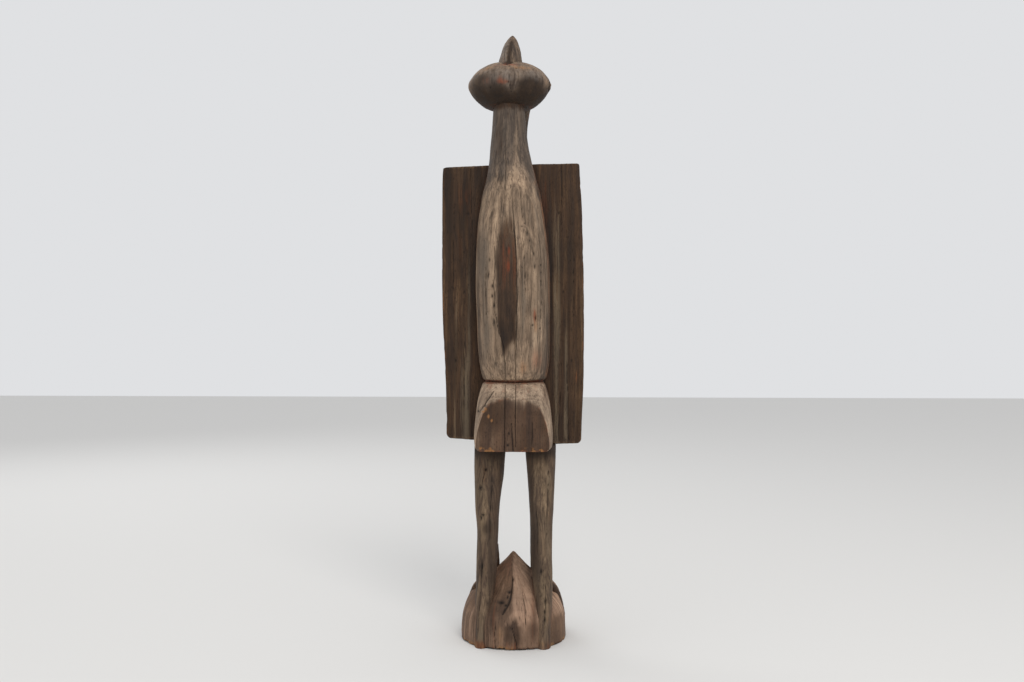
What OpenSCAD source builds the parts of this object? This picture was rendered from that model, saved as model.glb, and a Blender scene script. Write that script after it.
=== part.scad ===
/* [Figure] */
// Height from the floor to the tip of the crest
figure_h = 1220; // [1100:10:1340]
// Width across the two wings
wing_span = 290; // [270:5:310]
// Width of the body at its fullest
body_w = 150; // [140:1:160]
// Width of the head from eye to eye
head_w = 168; // [150:1:180]
// How far the head is turned to the figure's right, in degrees
head_turn = 6; // [0:1:10]
// Diameter of the mound that the figure stands on
mound_d = 214; // [200:2:230]
/* [Boards and pegs] */
// Thickness of a wing board
wing_t = 20; // [16:1:24]
// Diameter of the thick dowels in the neck, hips and ankles
thick_dowel_d = 16; // [12:1:18]
// Diameter of the thin dowels in the wings, tail, crest and beak
thin_dowel_d = 10; // [8:1:12]
/* [Hidden] */

// +X is the figure's right, +Y is the way its beak points, +Z is up.
LEFT = -1;
RIGHT = 1;

grey_wood = [0.45, 0.40, 0.34];
dark_wood = [0.27, 0.22, 0.19];
umber_wood = [0.36, 0.28, 0.23];
peg_wood = [0.62, 0.48, 0.33];

// Heights of the joints, as shares of the figure's height
mound_h = 0.1393 * figure_h;
hip_z = 0.3197 * figure_h;
waist_z = 0.4246 * figure_h;
wing_top_z = 0.7852 * figure_h;
neck_top_z = 0.8893 * figure_h;
head_z = 0.9160 * figure_h;
torso_h = neck_top_z - hip_z;
crest_h = figure_h - head_z;

// Half widths
body_r = body_w / 2;
head_r = head_w / 2;
mound_r = mound_d / 2;

// Middles of the torso and the neck, and the flat that the tail is pegged to
torso_y = -12;
neck_x = -0.11 * body_r;
tail_seat_y = -40;

// ---- Lofts ----

// The value a share t of the way from b to c, on a smooth curve through a, b, c and d.
function between(a, b, c, d, t) =
    0.5 * (2 * b + (c - a) * t + (2 * a - 5 * b + 4 * c - d) * t * t
        + (3 * b - a - 3 * c + d) * t * t * t);

// The rows with steps - 1 more rows curved in between each pair.
function curved(rows, steps) = let (last = len(rows) - 1) concat(
    [for (i = [0:last - 1], j = [0:steps - 1])
        between(rows[max(i - 1, 0)], rows[i], rows[i + 1], rows[min(i + 2, last)], j / steps)],
    [rows[last]]);

function signed_power(v, p) = sign(v) * pow(abs(v), p);

// A closed outline that reaches w to each side, back towards -Y and front towards +Y.
// A squareness of 2 is an ellipse, 1 is a diamond, and more is boxier.
function outline(w, back, front, squareness, sides) = [
    for (i = [0:sides - 1])
        let (a = 360 * i / sides, c = cos(a), s = sin(a), p = 2 / squareness)
        [w * signed_power(c, p), (s < 0 ? back : front) * signed_power(s, p)]
];

// An outline laid level at a place.
function level_ring(place, shape) = [for (p = shape) [place.x + p.x, place.y + p.y, place.z]];

// An outline across a path that heads forward and dips by the angle dip.
function dipped_ring(place, dip, shape) = [
    for (p = shape) [place.x - p.x, place.y + p.y * sin(dip), place.z + p.y * cos(dip)]
];

// A closed skin over rings that all have the same number of points.
module skin(rings) {
    sides = len(rings[0]);
    last = len(rings) - 1;
    walls = [
        for (k = [0:last - 1], i = [0:sides - 1])
            let (j = (i + 1) % sides, a = k * sides + i, b = k * sides + j)
            each [[a, a + sides, b], [b, a + sides, b + sides]]
    ];
    first_end = [for (i = [0:sides - 1]) i];
    last_end = [for (i = [sides - 1:-1:0]) last * sides + i];
    polyhedron(points = [for (r = rings) each r],
        faces = concat(walls, [first_end, last_end]), convexity = 6);
}

// A loft up the Z axis. Rows are [z, x, half width, y, back, front, squareness].
module upright_loft(rows, sides) {
    skin([for (r = rows) level_ring([r[1], r[3], r[0]], outline(r[2], r[4], r[5], r[6], sides))]);
}

// ---- Mound ----

// [share of the height, share of the radius, squareness]: a round block that rises to a
// four-sided peak, with one edge of the peak facing back.
mound_rows = [
    [0.00, 1.00, 2.0], [0.14, 0.99, 2.0], [0.28, 0.97, 2.0], [0.39, 0.92, 1.9], [0.50, 0.84, 1.7],
    [0.60, 0.70, 1.45], [0.72, 0.49, 1.25], [0.82, 0.30, 1.15], [0.91, 0.15, 1.15], [1.00, 0.02, 1.2],
];

module mound() {
    color(umber_wood) difference() {
        upright_loft([
            for (r = curved(mound_rows, 2))
                [r[0] * mound_h, 0, r[1] * mound_r, 0, r[1] * mound_r, r[1] * mound_r, r[2]]
        ], 40);
        leg_shape(LEFT);
        leg_shape(RIGHT);
        toes(LEFT);
        toes(RIGHT);
        ankle_peg(LEFT);
        ankle_peg(RIGHT);
    }
}

// ---- Legs ----

// [share of the height, distance out, half width, y, half depth]. A leg leans back to the mound,
// and its lower end runs down the back of the mound as a hind toe.
left_leg_rows = [
    [0.00, 59, 14, -73, 23], [0.07, 58, 14, -69, 24], [0.21, 55, 17, -57, 28], [0.34, 52, 19.5, -44, 30],
    [0.45, 51, 20, -37, 28], [0.57, 50, 20.5, -32, 27], [0.69, 50, 23, -26, 27], [0.82, 48, 27.5, -18, 29],
    [0.92, 47, 30, -11, 30], [1.00, 46, 31, -8, 31],
];
right_leg_rows = [
    [0.00, 63, 14, -73, 23], [0.07, 63, 14, -69, 24], [0.21, 62.5, 17, -57, 28], [0.34, 60, 20, -44, 30],
    [0.45, 57.5, 21, -37, 28], [0.57, 57.5, 21.5, -32, 27], [0.69, 57.5, 23.5, -26, 27],
    [0.82, 57, 27, -18, 29], [0.92, 56, 29.5, -11, 30], [1.00, 55, 31, -8, 31],
];

module leg_shape(side) {
    rows = side == LEFT ? left_leg_rows : right_leg_rows;
    upright_loft([
        for (r = curved(rows, 2)) [r[0] * hip_z, side * r[1], r[2], r[3], r[4], r[4], 2.3]
    ], 24);
}

module leg(side) {
    color(grey_wood) difference() {
        leg_shape(side);
        hip_peg(side);
        ankle_peg(side);
    }
}

// ---- Feet: three front toes on each side that grip the mound ----

// [distance out, y, height as a share of the mound's, radius] from the ankle to the claw.
toe_rows = [
    [[44, -22, 1.10, 7], [44, -8, 0.94, 9], [44, 20, 0.76, 10], [43, 56, 0.61, 10.5], [41, 84, 0.45, 10],
        [40, 97, 0.27, 9], [39, 103, 0.12, 7], [39, 106, 0.03, 4]],
    [[57, -26, 0.73, 6], [62, 8, 0.68, 8], [68, 42, 0.55, 10], [73, 68, 0.36, 9.5], [76, 79, 0.17, 7.5],
        [77, 82, 0.03, 4]],
    [[69, -26, 0.70, 6], [80, -6, 0.60, 8], [88, 14, 0.46, 9], [95, 30, 0.29, 8], [100, 40, 0.13, 6],
        [101, 43, 0.03, 4]],
];
left_toes_in = 8;

module toes(side) {
    for (rows = toe_rows) {
        path = curved(rows, 2);
        last = len(path) - 1;
        inward = side == LEFT ? left_toes_in : 0;
        skin([
            for (i = [0:last])
                let (
                    a = path[max(i - 1, 0)], b = path[min(i + 1, last)], r = path[i][3],
                    dip = atan2((a[2] - b[2]) * mound_h, b[1] - a[1])
                )
                dipped_ring([side * path[i][0] + inward * (1 - i / last), path[i][1], path[i][2] * mound_h], dip,
                    outline(r, r, r, 2, 14))
        ]);
    }
}

module foot(side) {
    color(umber_wood) difference() {
        toes(side);
        leg_shape(side);
    }
}

// ---- Torso with the neck ----

// [share of the height, lean, half width, back, front], the last four in half body widths.
torso_rows = [
    [0.000, 0.03, 0.96, 0.80, 0.60], [0.070, 0.03, 0.95, 0.80, 0.74], [0.140, 0.03, 0.87, 0.80, 0.84],
    [0.183, 0.03, 0.80, 0.78, 0.90], [0.197, 0.03, 0.86, 0.90, 0.94], [0.230, 0.03, 0.93, 0.99, 1.02],
    [0.278, 0.02, 0.965, 1.04, 1.08], [0.360, 0.01, 0.99, 1.06, 1.12], [0.450, -0.01, 1.00, 1.06, 1.06],
    [0.542, -0.02, 0.98, 1.03, 0.96], [0.630, -0.04, 0.92, 0.96, 0.84], [0.718, -0.045, 0.80, 0.86, 0.71],
    [0.770, -0.05, 0.68, 0.76, 0.60], [0.820, -0.07, 0.585, 0.66, 0.52], [0.883, -0.105, 0.50, 0.54, 0.46],
    [0.932, -0.11, 0.455, 0.47, 0.44], [1.000, -0.11, 0.41, 0.42, 0.41],
];

module torso_shape() {
    upright_loft([
        for (r = curved(torso_rows, 2))
            [hip_z + r[0] * torso_h, r[1] * body_r, r[2] * body_r, torso_y, r[3] * body_r, r[4] * body_r, 2.1]
    ], 36);
}

module torso() {
    color(grey_wood) difference() {
        torso_shape();
        translate([-body_w, tail_seat_y - body_w, hip_z - 1]) cube([2 * body_w, body_w, waist_z - hip_z + 1]);
        wing_board(LEFT);
        wing_board(RIGHT);
        beak_shape();
        wing_pegs();
        tail_pegs();
        hip_peg(LEFT);
        hip_peg(RIGHT);
        neck_peg();
    }
}

// ---- Tail: a block that kicks out behind the waist and hides the tops of the legs ----

// [share of the height, half width, back], the last two in half body widths.
tail_rows = [
    [0.00, 0.98, 1.62], [0.05, 1.025, 1.56], [0.17, 1.045, 1.42], [0.32, 1.035, 1.26], [0.47, 1.01, 1.10],
    [0.61, 0.985, 0.95], [0.76, 0.945, 0.78], [0.89, 0.885, 0.60], [1.00, 0.81, 0.42],
];
tail_x = 0.035 * body_r;
tail_h = waist_z - hip_z + 6;
tail_depth = 60;

// The back half of a boxy outline, closed by a straight line along the seat.
function tail_ring(z, w, back) = [
    for (i = [0:24])
        let (a = 180 + 7.5 * i)
        [tail_x + w * signed_power(cos(a), 0.8), tail_seat_y + back * signed_power(sin(a), 0.8), z]
];

// A flared skirt, planed flat at the back, which leaves an arched face.
module tail() {
    color(dark_wood) difference() {
        skin([
            for (r = curved(tail_rows, 2))
                tail_ring(waist_z - (1 - r[0]) * tail_h, r[1] * body_r, r[2] * body_r)
        ]);
        translate([-body_w, tail_seat_y - tail_depth - body_w, waist_z - tail_h - 1])
            cube([2 * body_w, body_w, tail_h + 2]);
        tail_pegs();
    }
}

// ---- Wings ----

wing_y = 10;
wing_root = 30;
corner_r = 9;

// [share of the height, share of half the span] along the outer edge.
left_wing_rows = [
    [0.00, 0.950], [0.15, 0.954], [0.26, 0.973], [0.40, 1.000], [0.60, 1.014], [0.88, 1.014], [1.00, 1.006],
];
right_wing_rows = [
    [0.00, 0.952], [0.15, 0.974], [0.26, 0.988], [0.52, 0.990], [0.70, 0.976], [0.88, 0.952], [1.00, 0.925],
];

// Heights of each board's root and outer corner: at its foot above the hips, at its top below the neck.
left_wing_foot = [5, 12];
right_wing_foot = [1, 3];
left_wing_top = [2, -2];
right_wing_top = [2, 4];

// A board with a straight root, a bowed outer edge and rounded outer corners.
module wing_board(side) {
    rows = side == LEFT ? left_wing_rows : right_wing_rows;
    foot = side == LEFT ? left_wing_foot : right_wing_foot;
    top = side == LEFT ? left_wing_top : right_wing_top;
    low = hip_z + foot[1];
    high = wing_top_z + top[1];
    edge = [for (r = curved(rows, 3)) [r[1] * wing_span / 2, low + r[0] * (high - low)]];
    last = len(edge) - 1;
    mirror([side == LEFT ? 1 : 0, 0, 0])
    translate([0, wing_y + wing_t / 2, 0]) rotate([90, 0, 0]) linear_extrude(height = wing_t)
        polygon(concat(
            [[wing_root, hip_z + foot[0]]],
            [for (a = [0:15:75]) [edge[0].x + corner_r * (sin(a) - 1), low + corner_r * (1 - cos(a))]],
            [for (p = edge) if (p.y > low + corner_r && p.y < high - corner_r / 2) p],
            [for (a = [15:15:90])
                [edge[last].x + corner_r / 2 * (cos(a) - 1), high + corner_r / 2 * (sin(a) - 1)]],
            [[wing_root, wing_top_z + top[0]]]
        ));
}

module wing(side) {
    color(dark_wood) difference() {
        wing_board(side);
        wing_pegs();
    }
}

// ---- Head ----

// Puts what is on the head over the neck, turned with it.
module on_neck() {
    translate([neck_x, torso_y, 0]) rotate([0, 0, -head_turn]) children();
}

// [height from the middle, half width, back, front, squareness], the middle three in half head widths.
head_rows = [
    [-50, 0.20, 0.16, 0.20, 2.0], [-47.5, 0.40, 0.32, 0.40, 2.0], [-41, 0.595, 0.50, 0.62, 2.0],
    [-32, 0.74, 0.63, 0.76, 1.95], [-23, 0.84, 0.72, 0.85, 1.9], [-14, 0.91, 0.77, 0.91, 1.85],
    [-6, 0.97, 0.80, 0.95, 1.8], [0, 0.985, 0.81, 0.96, 1.8], [8, 0.97, 0.80, 0.95, 1.8],
    [17, 0.90, 0.76, 0.91, 1.85], [26, 0.81, 0.69, 0.83, 1.9], [34, 0.69, 0.58, 0.72, 1.95],
    [42, 0.50, 0.43, 0.55, 2.0], [48, 0.22, 0.20, 0.26, 2.0],
];

module head_shape() {
    on_neck() upright_loft([
        for (r = head_rows)
            [head_z + r[0], 0, r[1] * head_r, 8, r[2] * head_r, r[3] * head_r, r[4]]
    ], 36);
}

module head() {
    color(dark_wood) difference() {
        head_shape();
        torso_shape();
        eye_plug(LEFT);
        eye_plug(RIGHT);
        neck_peg();
        crest_peg();
        beak_peg();
    }
}

// ---- Crest: a thin casque that rises to a spear's point ----

// [share of the height, half width, back, front], the last three in half head widths.
crest_rows = [
    [0.18, 0.36, 0.62, 0.80], [0.45, 0.315, 0.58, 0.76], [0.55, 0.275, 0.53, 0.70], [0.62, 0.255, 0.48, 0.64],
    [0.70, 0.235, 0.41, 0.55], [0.78, 0.205, 0.33, 0.44], [0.86, 0.165, 0.24, 0.32], [0.93, 0.11, 0.14, 0.19],
    [0.98, 0.05, 0.06, 0.08], [1.00, 0.012, 0.02, 0.02],
];

module crest() {
    color(dark_wood) difference() {
        on_neck() upright_loft([
            for (r = crest_rows)
                [head_z + r[0] * crest_h, 4, r[1] * head_r, 6, r[2] * head_r, r[3] * head_r, 1.7]
        ], 24);
        head_shape();
        crest_peg();
    }
}

// ---- Beak: it curves down from the face until its tip is let into the belly ----

// [y, height as a share of the figure's, dip, half width, inner half depth, outer half depth].
beak_rows = [
    [52, 0.912, 5, 49, 30, 24], [78, 0.909, 17, 45, 28, 23], [100, 0.899, 35, 34, 25, 21],
    [117, 0.883, 52, 24, 22, 19], [129, 0.862, 67, 19, 21, 18], [138, 0.830, 77, 18, 20, 17], [143, 0.782, 86, 17, 18, 16],
    [142, 0.728, 94, 16, 17, 15], [136, 0.674, 100, 14.5, 15, 13], [125, 0.622, 106, 13, 13, 12],
    [110, 0.577, 111, 11, 11, 10], [94, 0.545, 115, 9, 9, 8], [76, 0.517, 118, 6, 6, 6],
];

module beak_shape() {
    on_neck() skin([
        for (r = curved(beak_rows, 2))
            dipped_ring([0, r[0], r[1] * figure_h], r[2], outline(r[3], r[4], r[5], 2.1, 24))
    ]);
}

module beak() {
    color(dark_wood) difference() {
        beak_shape();
        head_shape();
        beak_peg();
    }
}

// ---- Eyes: turned plugs let into the two ends of the head ----

eye_r = 11;
eye_lift = 3;
eye_reach = head_r - 5;

module at_eye(side, reach) {
    on_neck() translate([side * reach, 8, head_z + eye_lift]) rotate([0, side * 90, 0]) children();
}

module eye_plug(side) {
    at_eye(side, eye_reach - 16) cylinder(h = 16, r = eye_r, $fn = 48);
}

// The plug with a ringed button of an eye on its end.
module eye(side) {
    color(dark_wood) {
        eye_plug(side);
        at_eye(side, eye_reach) rotate_extrude($fn = 48) polygon([
            [0, 0], [eye_r - 0.5, 0], [eye_r - 1.2, 1.2], [eye_r - 3, 1.9], [eye_r - 3.8, 1.2],
            [eye_r - 4.8, 1.3], [eye_r - 5.4, 2.6], [eye_r - 8, 4.0], [eye_r - 10.5, 4.7], [0, 4.8],
        ]);
    }
}

// ---- Dowels ----

module thick_dowel(h) {
    cylinder(h = h, r = thick_dowel_d / 2, $fn = 32);
}

module thin_dowel(h) {
    cylinder(h = h, r = thin_dowel_d / 2, $fn = 32);
}

module neck_peg() {
    translate([neck_x, torso_y, neck_top_z - 45]) thick_dowel(75);
}

module crest_peg() {
    on_neck() translate([4, 8, head_z + 14]) thin_dowel(55);
}

module beak_peg() {
    on_neck() translate([0, 58, head_z - 6]) rotate([-90, 0, 0]) thin_dowel(48);
}

wing_peg_shares = [0.12, 0.40, 0.66];

module wing_pegs() {
    for (t = wing_peg_shares)
        translate([-52, wing_y, hip_z + t * torso_h]) rotate([0, 90, 0]) thin_dowel(104);
}

module tail_pegs() {
    for (t = [0.28, 0.72])
        translate([tail_x, tail_seat_y - 22, waist_z - (1 - t) * tail_h]) rotate([-90, 0, 0]) thin_dowel(46);
}

module hip_peg(side) {
    translate([side * (side == LEFT ? 46 : 55), -16, hip_z - 40]) thick_dowel(75);
}

module ankle_peg(side) {
    translate([side * 56, -52, 0.40 * mound_h]) rotate([-90, 0, 0]) thick_dowel(50);
}

module peg_color() {
    color(peg_wood) children();
}

mound();
leg(LEFT);  // left_leg
leg(RIGHT);  // right_leg
foot(LEFT);  // left_foot
foot(RIGHT);  // right_foot
torso();
tail();
wing(LEFT);  // left_wing
wing(RIGHT);  // right_wing
head();
crest();
beak();
eye(LEFT);  // left_eye
eye(RIGHT);  // right_eye
peg_color() neck_peg();  // neck_dowel
peg_color() crest_peg();  // crest_dowel
peg_color() beak_peg();  // beak_dowel
peg_color() wing_pegs();  // wing_dowels
peg_color() tail_pegs();  // tail_dowels
peg_color() { hip_peg(LEFT); hip_peg(RIGHT); }  // hip_dowels
peg_color() { ankle_peg(LEFT); ankle_peg(RIGHT); }  // ankle_dowels
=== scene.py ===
import math

import bpy
import numpy as np
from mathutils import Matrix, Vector


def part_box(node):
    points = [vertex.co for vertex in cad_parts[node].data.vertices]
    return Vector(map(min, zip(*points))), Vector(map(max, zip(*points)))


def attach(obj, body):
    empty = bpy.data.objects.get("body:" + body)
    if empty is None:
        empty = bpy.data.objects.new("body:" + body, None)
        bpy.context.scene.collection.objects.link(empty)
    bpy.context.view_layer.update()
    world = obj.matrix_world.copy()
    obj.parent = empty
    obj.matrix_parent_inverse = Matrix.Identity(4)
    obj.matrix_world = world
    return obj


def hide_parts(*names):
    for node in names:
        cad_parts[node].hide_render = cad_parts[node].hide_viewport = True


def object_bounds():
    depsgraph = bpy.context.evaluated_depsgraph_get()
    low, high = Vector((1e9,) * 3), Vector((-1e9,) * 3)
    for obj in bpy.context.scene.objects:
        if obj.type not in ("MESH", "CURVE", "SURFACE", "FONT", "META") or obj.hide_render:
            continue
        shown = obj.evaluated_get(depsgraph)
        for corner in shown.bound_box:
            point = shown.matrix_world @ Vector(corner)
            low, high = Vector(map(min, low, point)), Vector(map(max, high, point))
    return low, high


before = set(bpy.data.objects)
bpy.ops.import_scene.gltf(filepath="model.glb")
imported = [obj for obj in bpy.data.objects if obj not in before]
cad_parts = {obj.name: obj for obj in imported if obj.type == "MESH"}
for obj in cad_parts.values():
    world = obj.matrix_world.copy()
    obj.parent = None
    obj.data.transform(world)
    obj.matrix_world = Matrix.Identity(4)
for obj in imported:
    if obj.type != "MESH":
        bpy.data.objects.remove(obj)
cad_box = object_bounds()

# Lengths are millimetres on a figure 1220 mm tall until a piece is made.
# Places come from the CAD nodes' boxes.

S = cad_box[1][2] / 1.220


def mm(node):
    lo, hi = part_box(node)
    return np.array(lo) * 1000 / S, np.array(hi) * 1000 / S


def middle(node):
    lo, hi = mm(node)
    return (lo + hi) / 2


# ---------------------------------------------------------------- camera

VIEW_TURN = math.radians(3)
VIEW_AWAY = 2120 * S
camera = bpy.data.objects.new("camera", bpy.data.cameras.new("camera"))
bpy.context.scene.collection.objects.link(camera)
bpy.context.scene.camera = camera
camera.data.sensor_width = 36
camera.data.lens = 36 * 1040 / 1024
camera.data.clip_end = 100
side = Vector((math.cos(VIEW_TURN), math.sin(VIEW_TURN), 0))
back = Vector((math.sin(VIEW_TURN), -math.cos(VIEW_TURN), 0))
camera.location = (back * VIEW_AWAY - side * 3 * S + Vector((0, 0, 600 * S))) / 1000
camera.rotation_euler = (math.pi / 2, 0, VIEW_TURN)

# ---------------------------------------------------------------- noise


def lattice(i, j, k, seed):
    h = (i * 374761393 + j * 668265263 + k * 2147483647 + seed * 1274126177) & 0xFFFFFFFF
    h = ((h ^ (h >> 13)) * 1274126177) & 0xFFFFFFFF
    h = ((h ^ (h >> 16)) * 2246822519) & 0xFFFFFFFF
    return (h ^ (h >> 15)) / 4294967295.0


def noise(p, size, seed=0):
    """Smooth noise from -1 to 1 at points p, with lumps of that size along X, Y and Z."""
    q = p / np.asarray(size, float)
    base = np.floor(q).astype(np.int64)
    t = q - base
    t = t * t * t * (t * (t * 6 - 15) + 10)
    i, j, k = base[..., 0], base[..., 1], base[..., 2]
    out = 0.0
    for dx in (0, 1):
        wx = t[..., 0] if dx else 1 - t[..., 0]
        for dy in (0, 1):
            wy = t[..., 1] if dy else 1 - t[..., 1]
            for dz in (0, 1):
                wz = t[..., 2] if dz else 1 - t[..., 2]
                out = out + wx * wy * wz * lattice(i + dx, j + dy, k + dz, seed)
    return out * 2 - 1


def layered(p, size, seed=0, layers=3):
    size = np.asarray(size, float)
    total, weight = 0.0, 0.0
    for n in range(layers):
        total = total + noise(p, size / 2**n, seed + 17 * n) / 1.7**n
        weight += 1 / 1.7**n
    return total / weight


def step(low, high, v):
    t = np.clip((v - low) / (high - low), 0, 1)
    return t * t * (3 - 2 * t)


def along(v, table):
    """Reads a table of [place, value] rows at v."""
    table = np.asarray(table, float)
    return np.interp(v, table[:, 0], table[:, 1])


# ---------------------------------------------------------------- lofts


def curved(rows, steps=12):
    """The rows with a smooth curve through them."""
    r = np.asarray(rows, float)
    out = []
    for i in range(len(r) - 1):
        a, b, c, d = r[max(i - 1, 0)], r[i], r[i + 1], r[min(i + 2, len(r) - 1)]
        t = (np.arange(steps) / steps)[:, None]
        out.append(
            0.5
            * (2 * b + (c - a) * t + (2 * a - 5 * b + 4 * c - d) * t**2 + (3 * b - a - 3 * c + d) * t**3)
        )
    return np.concatenate(out + [r[-1:]])


def spaced(rows, count, weights):
    """count rows at even steps along a polyline whose columns count by their weights."""
    far = np.concatenate([[0], np.cumsum(np.sqrt((((rows[1:] - rows[:-1]) * weights)**2).sum(1)))])
    at = np.linspace(0, far[-1], count)
    return np.stack([np.interp(at, far, rows[:, c]) for c in range(rows.shape[1])], 1)


def outline(w, back, front, squareness, sides):
    a = np.linspace(0, 2 * math.pi, sides, endpoint=False)
    c, s, p = np.cos(a), np.sin(a), 2 / squareness
    return np.stack([
        w * np.sign(c) * np.abs(c) ** p, np.where(s < 0, back, front) * np.sign(s) * np.abs(s) ** p
    ], 1)


def even(ring, sides, dense=None):
    """A closed ring with its points spaced evenly, or closer where dense(x, y) is large."""
    loop = np.concatenate([ring, ring[:1]])
    gap = np.sqrt(((loop[1:] - loop[:-1])**2).sum(1))
    if dense is not None:
        mid = (loop[1:] + loop[:-1]) / 2
        gap = gap * dense(mid[:, 0], mid[:, 1])
    far = np.concatenate([[0], np.cumsum(gap)])
    at = np.linspace(0, far[-1], sides, endpoint=False)
    return np.stack([np.interp(at, far, loop[:, c]) for c in range(loop.shape[1])], 1)


def upright(rows, sides, dense=None):
    """Rows of [z, x, half width, y, back, front, squareness] as rings of points."""
    rings = []
    for z, x, w, y, b, f, q in rows:
        ring = even(outline(w, b, f, q, 720), sides, dense)
        rings.append(np.stack([ring[:, 0] + x, ring[:, 1] + y, np.full(sides, z)], 1))
    return np.array(rings)


def inset(ring, d):
    """A level ring moved inward by d."""
    run = np.roll(ring, -1, 0) - np.roll(ring, 1, 0)
    out = np.stack([run[:, 1], -run[:, 0]], 1)
    moved = ring.copy()
    moved[:, :2] -= d * out / np.maximum(np.sqrt((out**2).sum(1, keepdims=True)), 1e-9)
    return moved


def rounded(g, low, high):
    """Rings with their bottom and top edges rounded to these radii."""

    def end(ring, r, up):
        out = []
        for a in np.radians(np.linspace(6, 90, 8)):
            moved = inset(ring, r * (1 - math.sin(a)))
            moved[:, 2] += up * r * (1 - math.cos(a))
            out.append(moved)
        return out

    keep = [r for r in g if g[0, 0, 2] + low < r[0, 2] < g[-1, 0, 2] - high]
    first = end(g[0], low, 1) if low else [g[0]]
    last = end(g[-1], high, -1)[::-1] if high else [g[-1]]
    return np.array(first + keep + last)


def normals(g):
    """Outward normals of a grid of rings."""
    u = np.roll(g, -1, 1) - np.roll(g, 1, 1)
    v = np.empty_like(g)
    v[1:-1] = g[2:] - g[:-2]
    v[0], v[-1] = g[1] - g[0], g[-1] - g[-2]
    n = np.cross(u, v)
    return n / np.maximum(np.sqrt((n**2).sum(-1, keepdims=True)), 1e-9)


# ---------------------------------------------------------------- carving


def grooves(p, depth, size=(5, 5, 90), seed=0):
    """Weathering along the grain: soft early wood worn back between harder lines."""
    return depth * layered(p, size, seed, 2)


def hewn(p, depth, size=(26, 26, 44), seed=0):
    """Shallow scoops with soft ridges between them, as an adze leaves."""
    cell = np.asarray(size, float)
    q = p / cell
    base = np.floor(q).astype(np.int64)
    best = np.full(p.shape[:-1], 9.0)
    for dx in (-1, 0, 1):
        for dy in (-1, 0, 1):
            for dz in (-1, 0, 1):
                i, j, k = base[..., 0] + dx, base[..., 1] + dy, base[..., 2] + dz
                c = np.stack([
                    i + lattice(i, j, k, seed), j + lattice(i, j, k, seed + 1),
                    k + lattice(i, j, k, seed + 2)
                ], -1)
                best = np.minimum(best, ((q - c)**2).sum(-1))
    return -depth * (1 - np.minimum(best, 1.0))


def split(p, path, width):
    """How deep points lie in a crack, from 0 to 1, along a path of [z, x, share of the width]."""
    path = np.asarray(sorted(path), float)
    at = p[..., 2]
    centre = np.interp(at, path[:, 0], path[:, 1])
    wide = width * np.interp(at, path[:, 0], path[:, 2], left=0, right=0)
    off = np.abs(p[..., 0] - centre)
    inside = (at > path[0, 0]) & (at < path[-1, 0])
    return np.where(inside & (wide > 0), np.clip(1 - off / np.maximum(wide, 1e-3), 0, 1), 0)


def spot(p, x, z, w, h):
    return np.exp(-(((p[..., 0] - x) / w)**2) - ((p[..., 2] - z) / h)**2)


def ridge(v, centre, width):
    """1 where v is centre, fading to 0 over about twice that width."""
    return np.exp(-(((v - centre) / width)**2))


def spots(p, *places):
    """Soft spots added up. A place is (strength, x, z, half width, half height)."""
    return sum(strength * spot(p, *place) for strength, *place in places)


def patches(p, low, high, size, seed):
    """Ragged patches where layered noise climbs from low to high."""
    return step(low, high, layered(p, size, seed))


# The stain mask lays down real stains and also painted shade under and between parts.
MASKS = ("stain_and_shade", "pale", "rust", "gap", "worn", "cool")


def make(name, parts, material):
    """A piece of one or more skins, each with its masks, in place of the CAD node of that name."""
    points, loops, sizes, tints, count = [], [], [], [], 0
    for grid, masks in parts:
        rings, sides = grid.shape[:2]
        k, i = np.meshgrid(np.arange(rings - 1), np.arange(sides), indexing="ij")
        j = (i + 1) % sides
        quads = np.stack([k * sides + i, k * sides + j, (k + 1) * sides + j, (k + 1) * sides + i], -1)
        loops.append(quads.reshape(-1) + count)
        sizes.append(np.full(quads.shape[0] * sides, 4))
        tint = np.zeros((rings, sides, 6))
        for c, mask in enumerate(MASKS):
            tint[..., c] = np.clip(masks.get(mask, 0), 0, 1)
        points.append(grid.reshape(-1, 3))
        tints.append(tint.reshape(-1, 6))
        a = np.arange(sides)
        b = (a + 1) % sides
        for n, last in enumerate((0, rings - 1)):
            centre = np.full(sides, rings * sides + n)
            fan = [a + last * sides, b + last * sides, centre] if last else [b, a, centre]
            loops.append(np.stack(fan, 1).reshape(-1) + count)
            sizes.append(np.full(sides, 3))
            points.append(grid[last].mean(0)[None])
            tints.append(tint[last].mean(0)[None])
        count += rings * sides + 2
    points, loops = np.concatenate(points), np.concatenate(loops)
    sizes, tints = np.concatenate(sizes), np.concatenate(tints)
    mesh = bpy.data.meshes.new(name)
    mesh.vertices.add(len(points))
    mesh.vertices.foreach_set("co", (points * S / 1000).astype(np.float32).ravel())
    mesh.loops.add(len(loops))
    mesh.loops.foreach_set("vertex_index", loops.astype(np.int32))
    mesh.polygons.add(len(sizes))
    mesh.polygons.foreach_set("loop_start", np.concatenate([[0], np.cumsum(sizes)[:-1]]).astype(np.int32))
    mesh.polygons.foreach_set("use_smooth", np.ones(len(sizes), bool))
    mesh.update(calc_edges=True)
    mesh.validate()
    for first, layer in ((0, "marks"), (3, "wear")):
        values = np.ones((len(points), 4), np.float32)
        values[:, :3] = tints[:, first : first + 3]
        mesh.attributes.new(layer, "FLOAT_COLOR", "POINT").data.foreach_set("color", values.ravel())
    mesh.materials.append(material)
    piece = bpy.data.objects.new(name + "_carved", mesh)
    bpy.context.scene.collection.objects.link(piece)
    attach(piece, "root")
    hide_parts(name)
    return piece


# ---------------------------------------------------------------- wood

GRAIN_SPAN = 0.115


def linear(r, g, b):
    return tuple(((c / 255 + 0.055) / 1.055)**2.4 if c > 10 else c / 3295 for c in (r, g, b)) + (1,)


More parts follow.
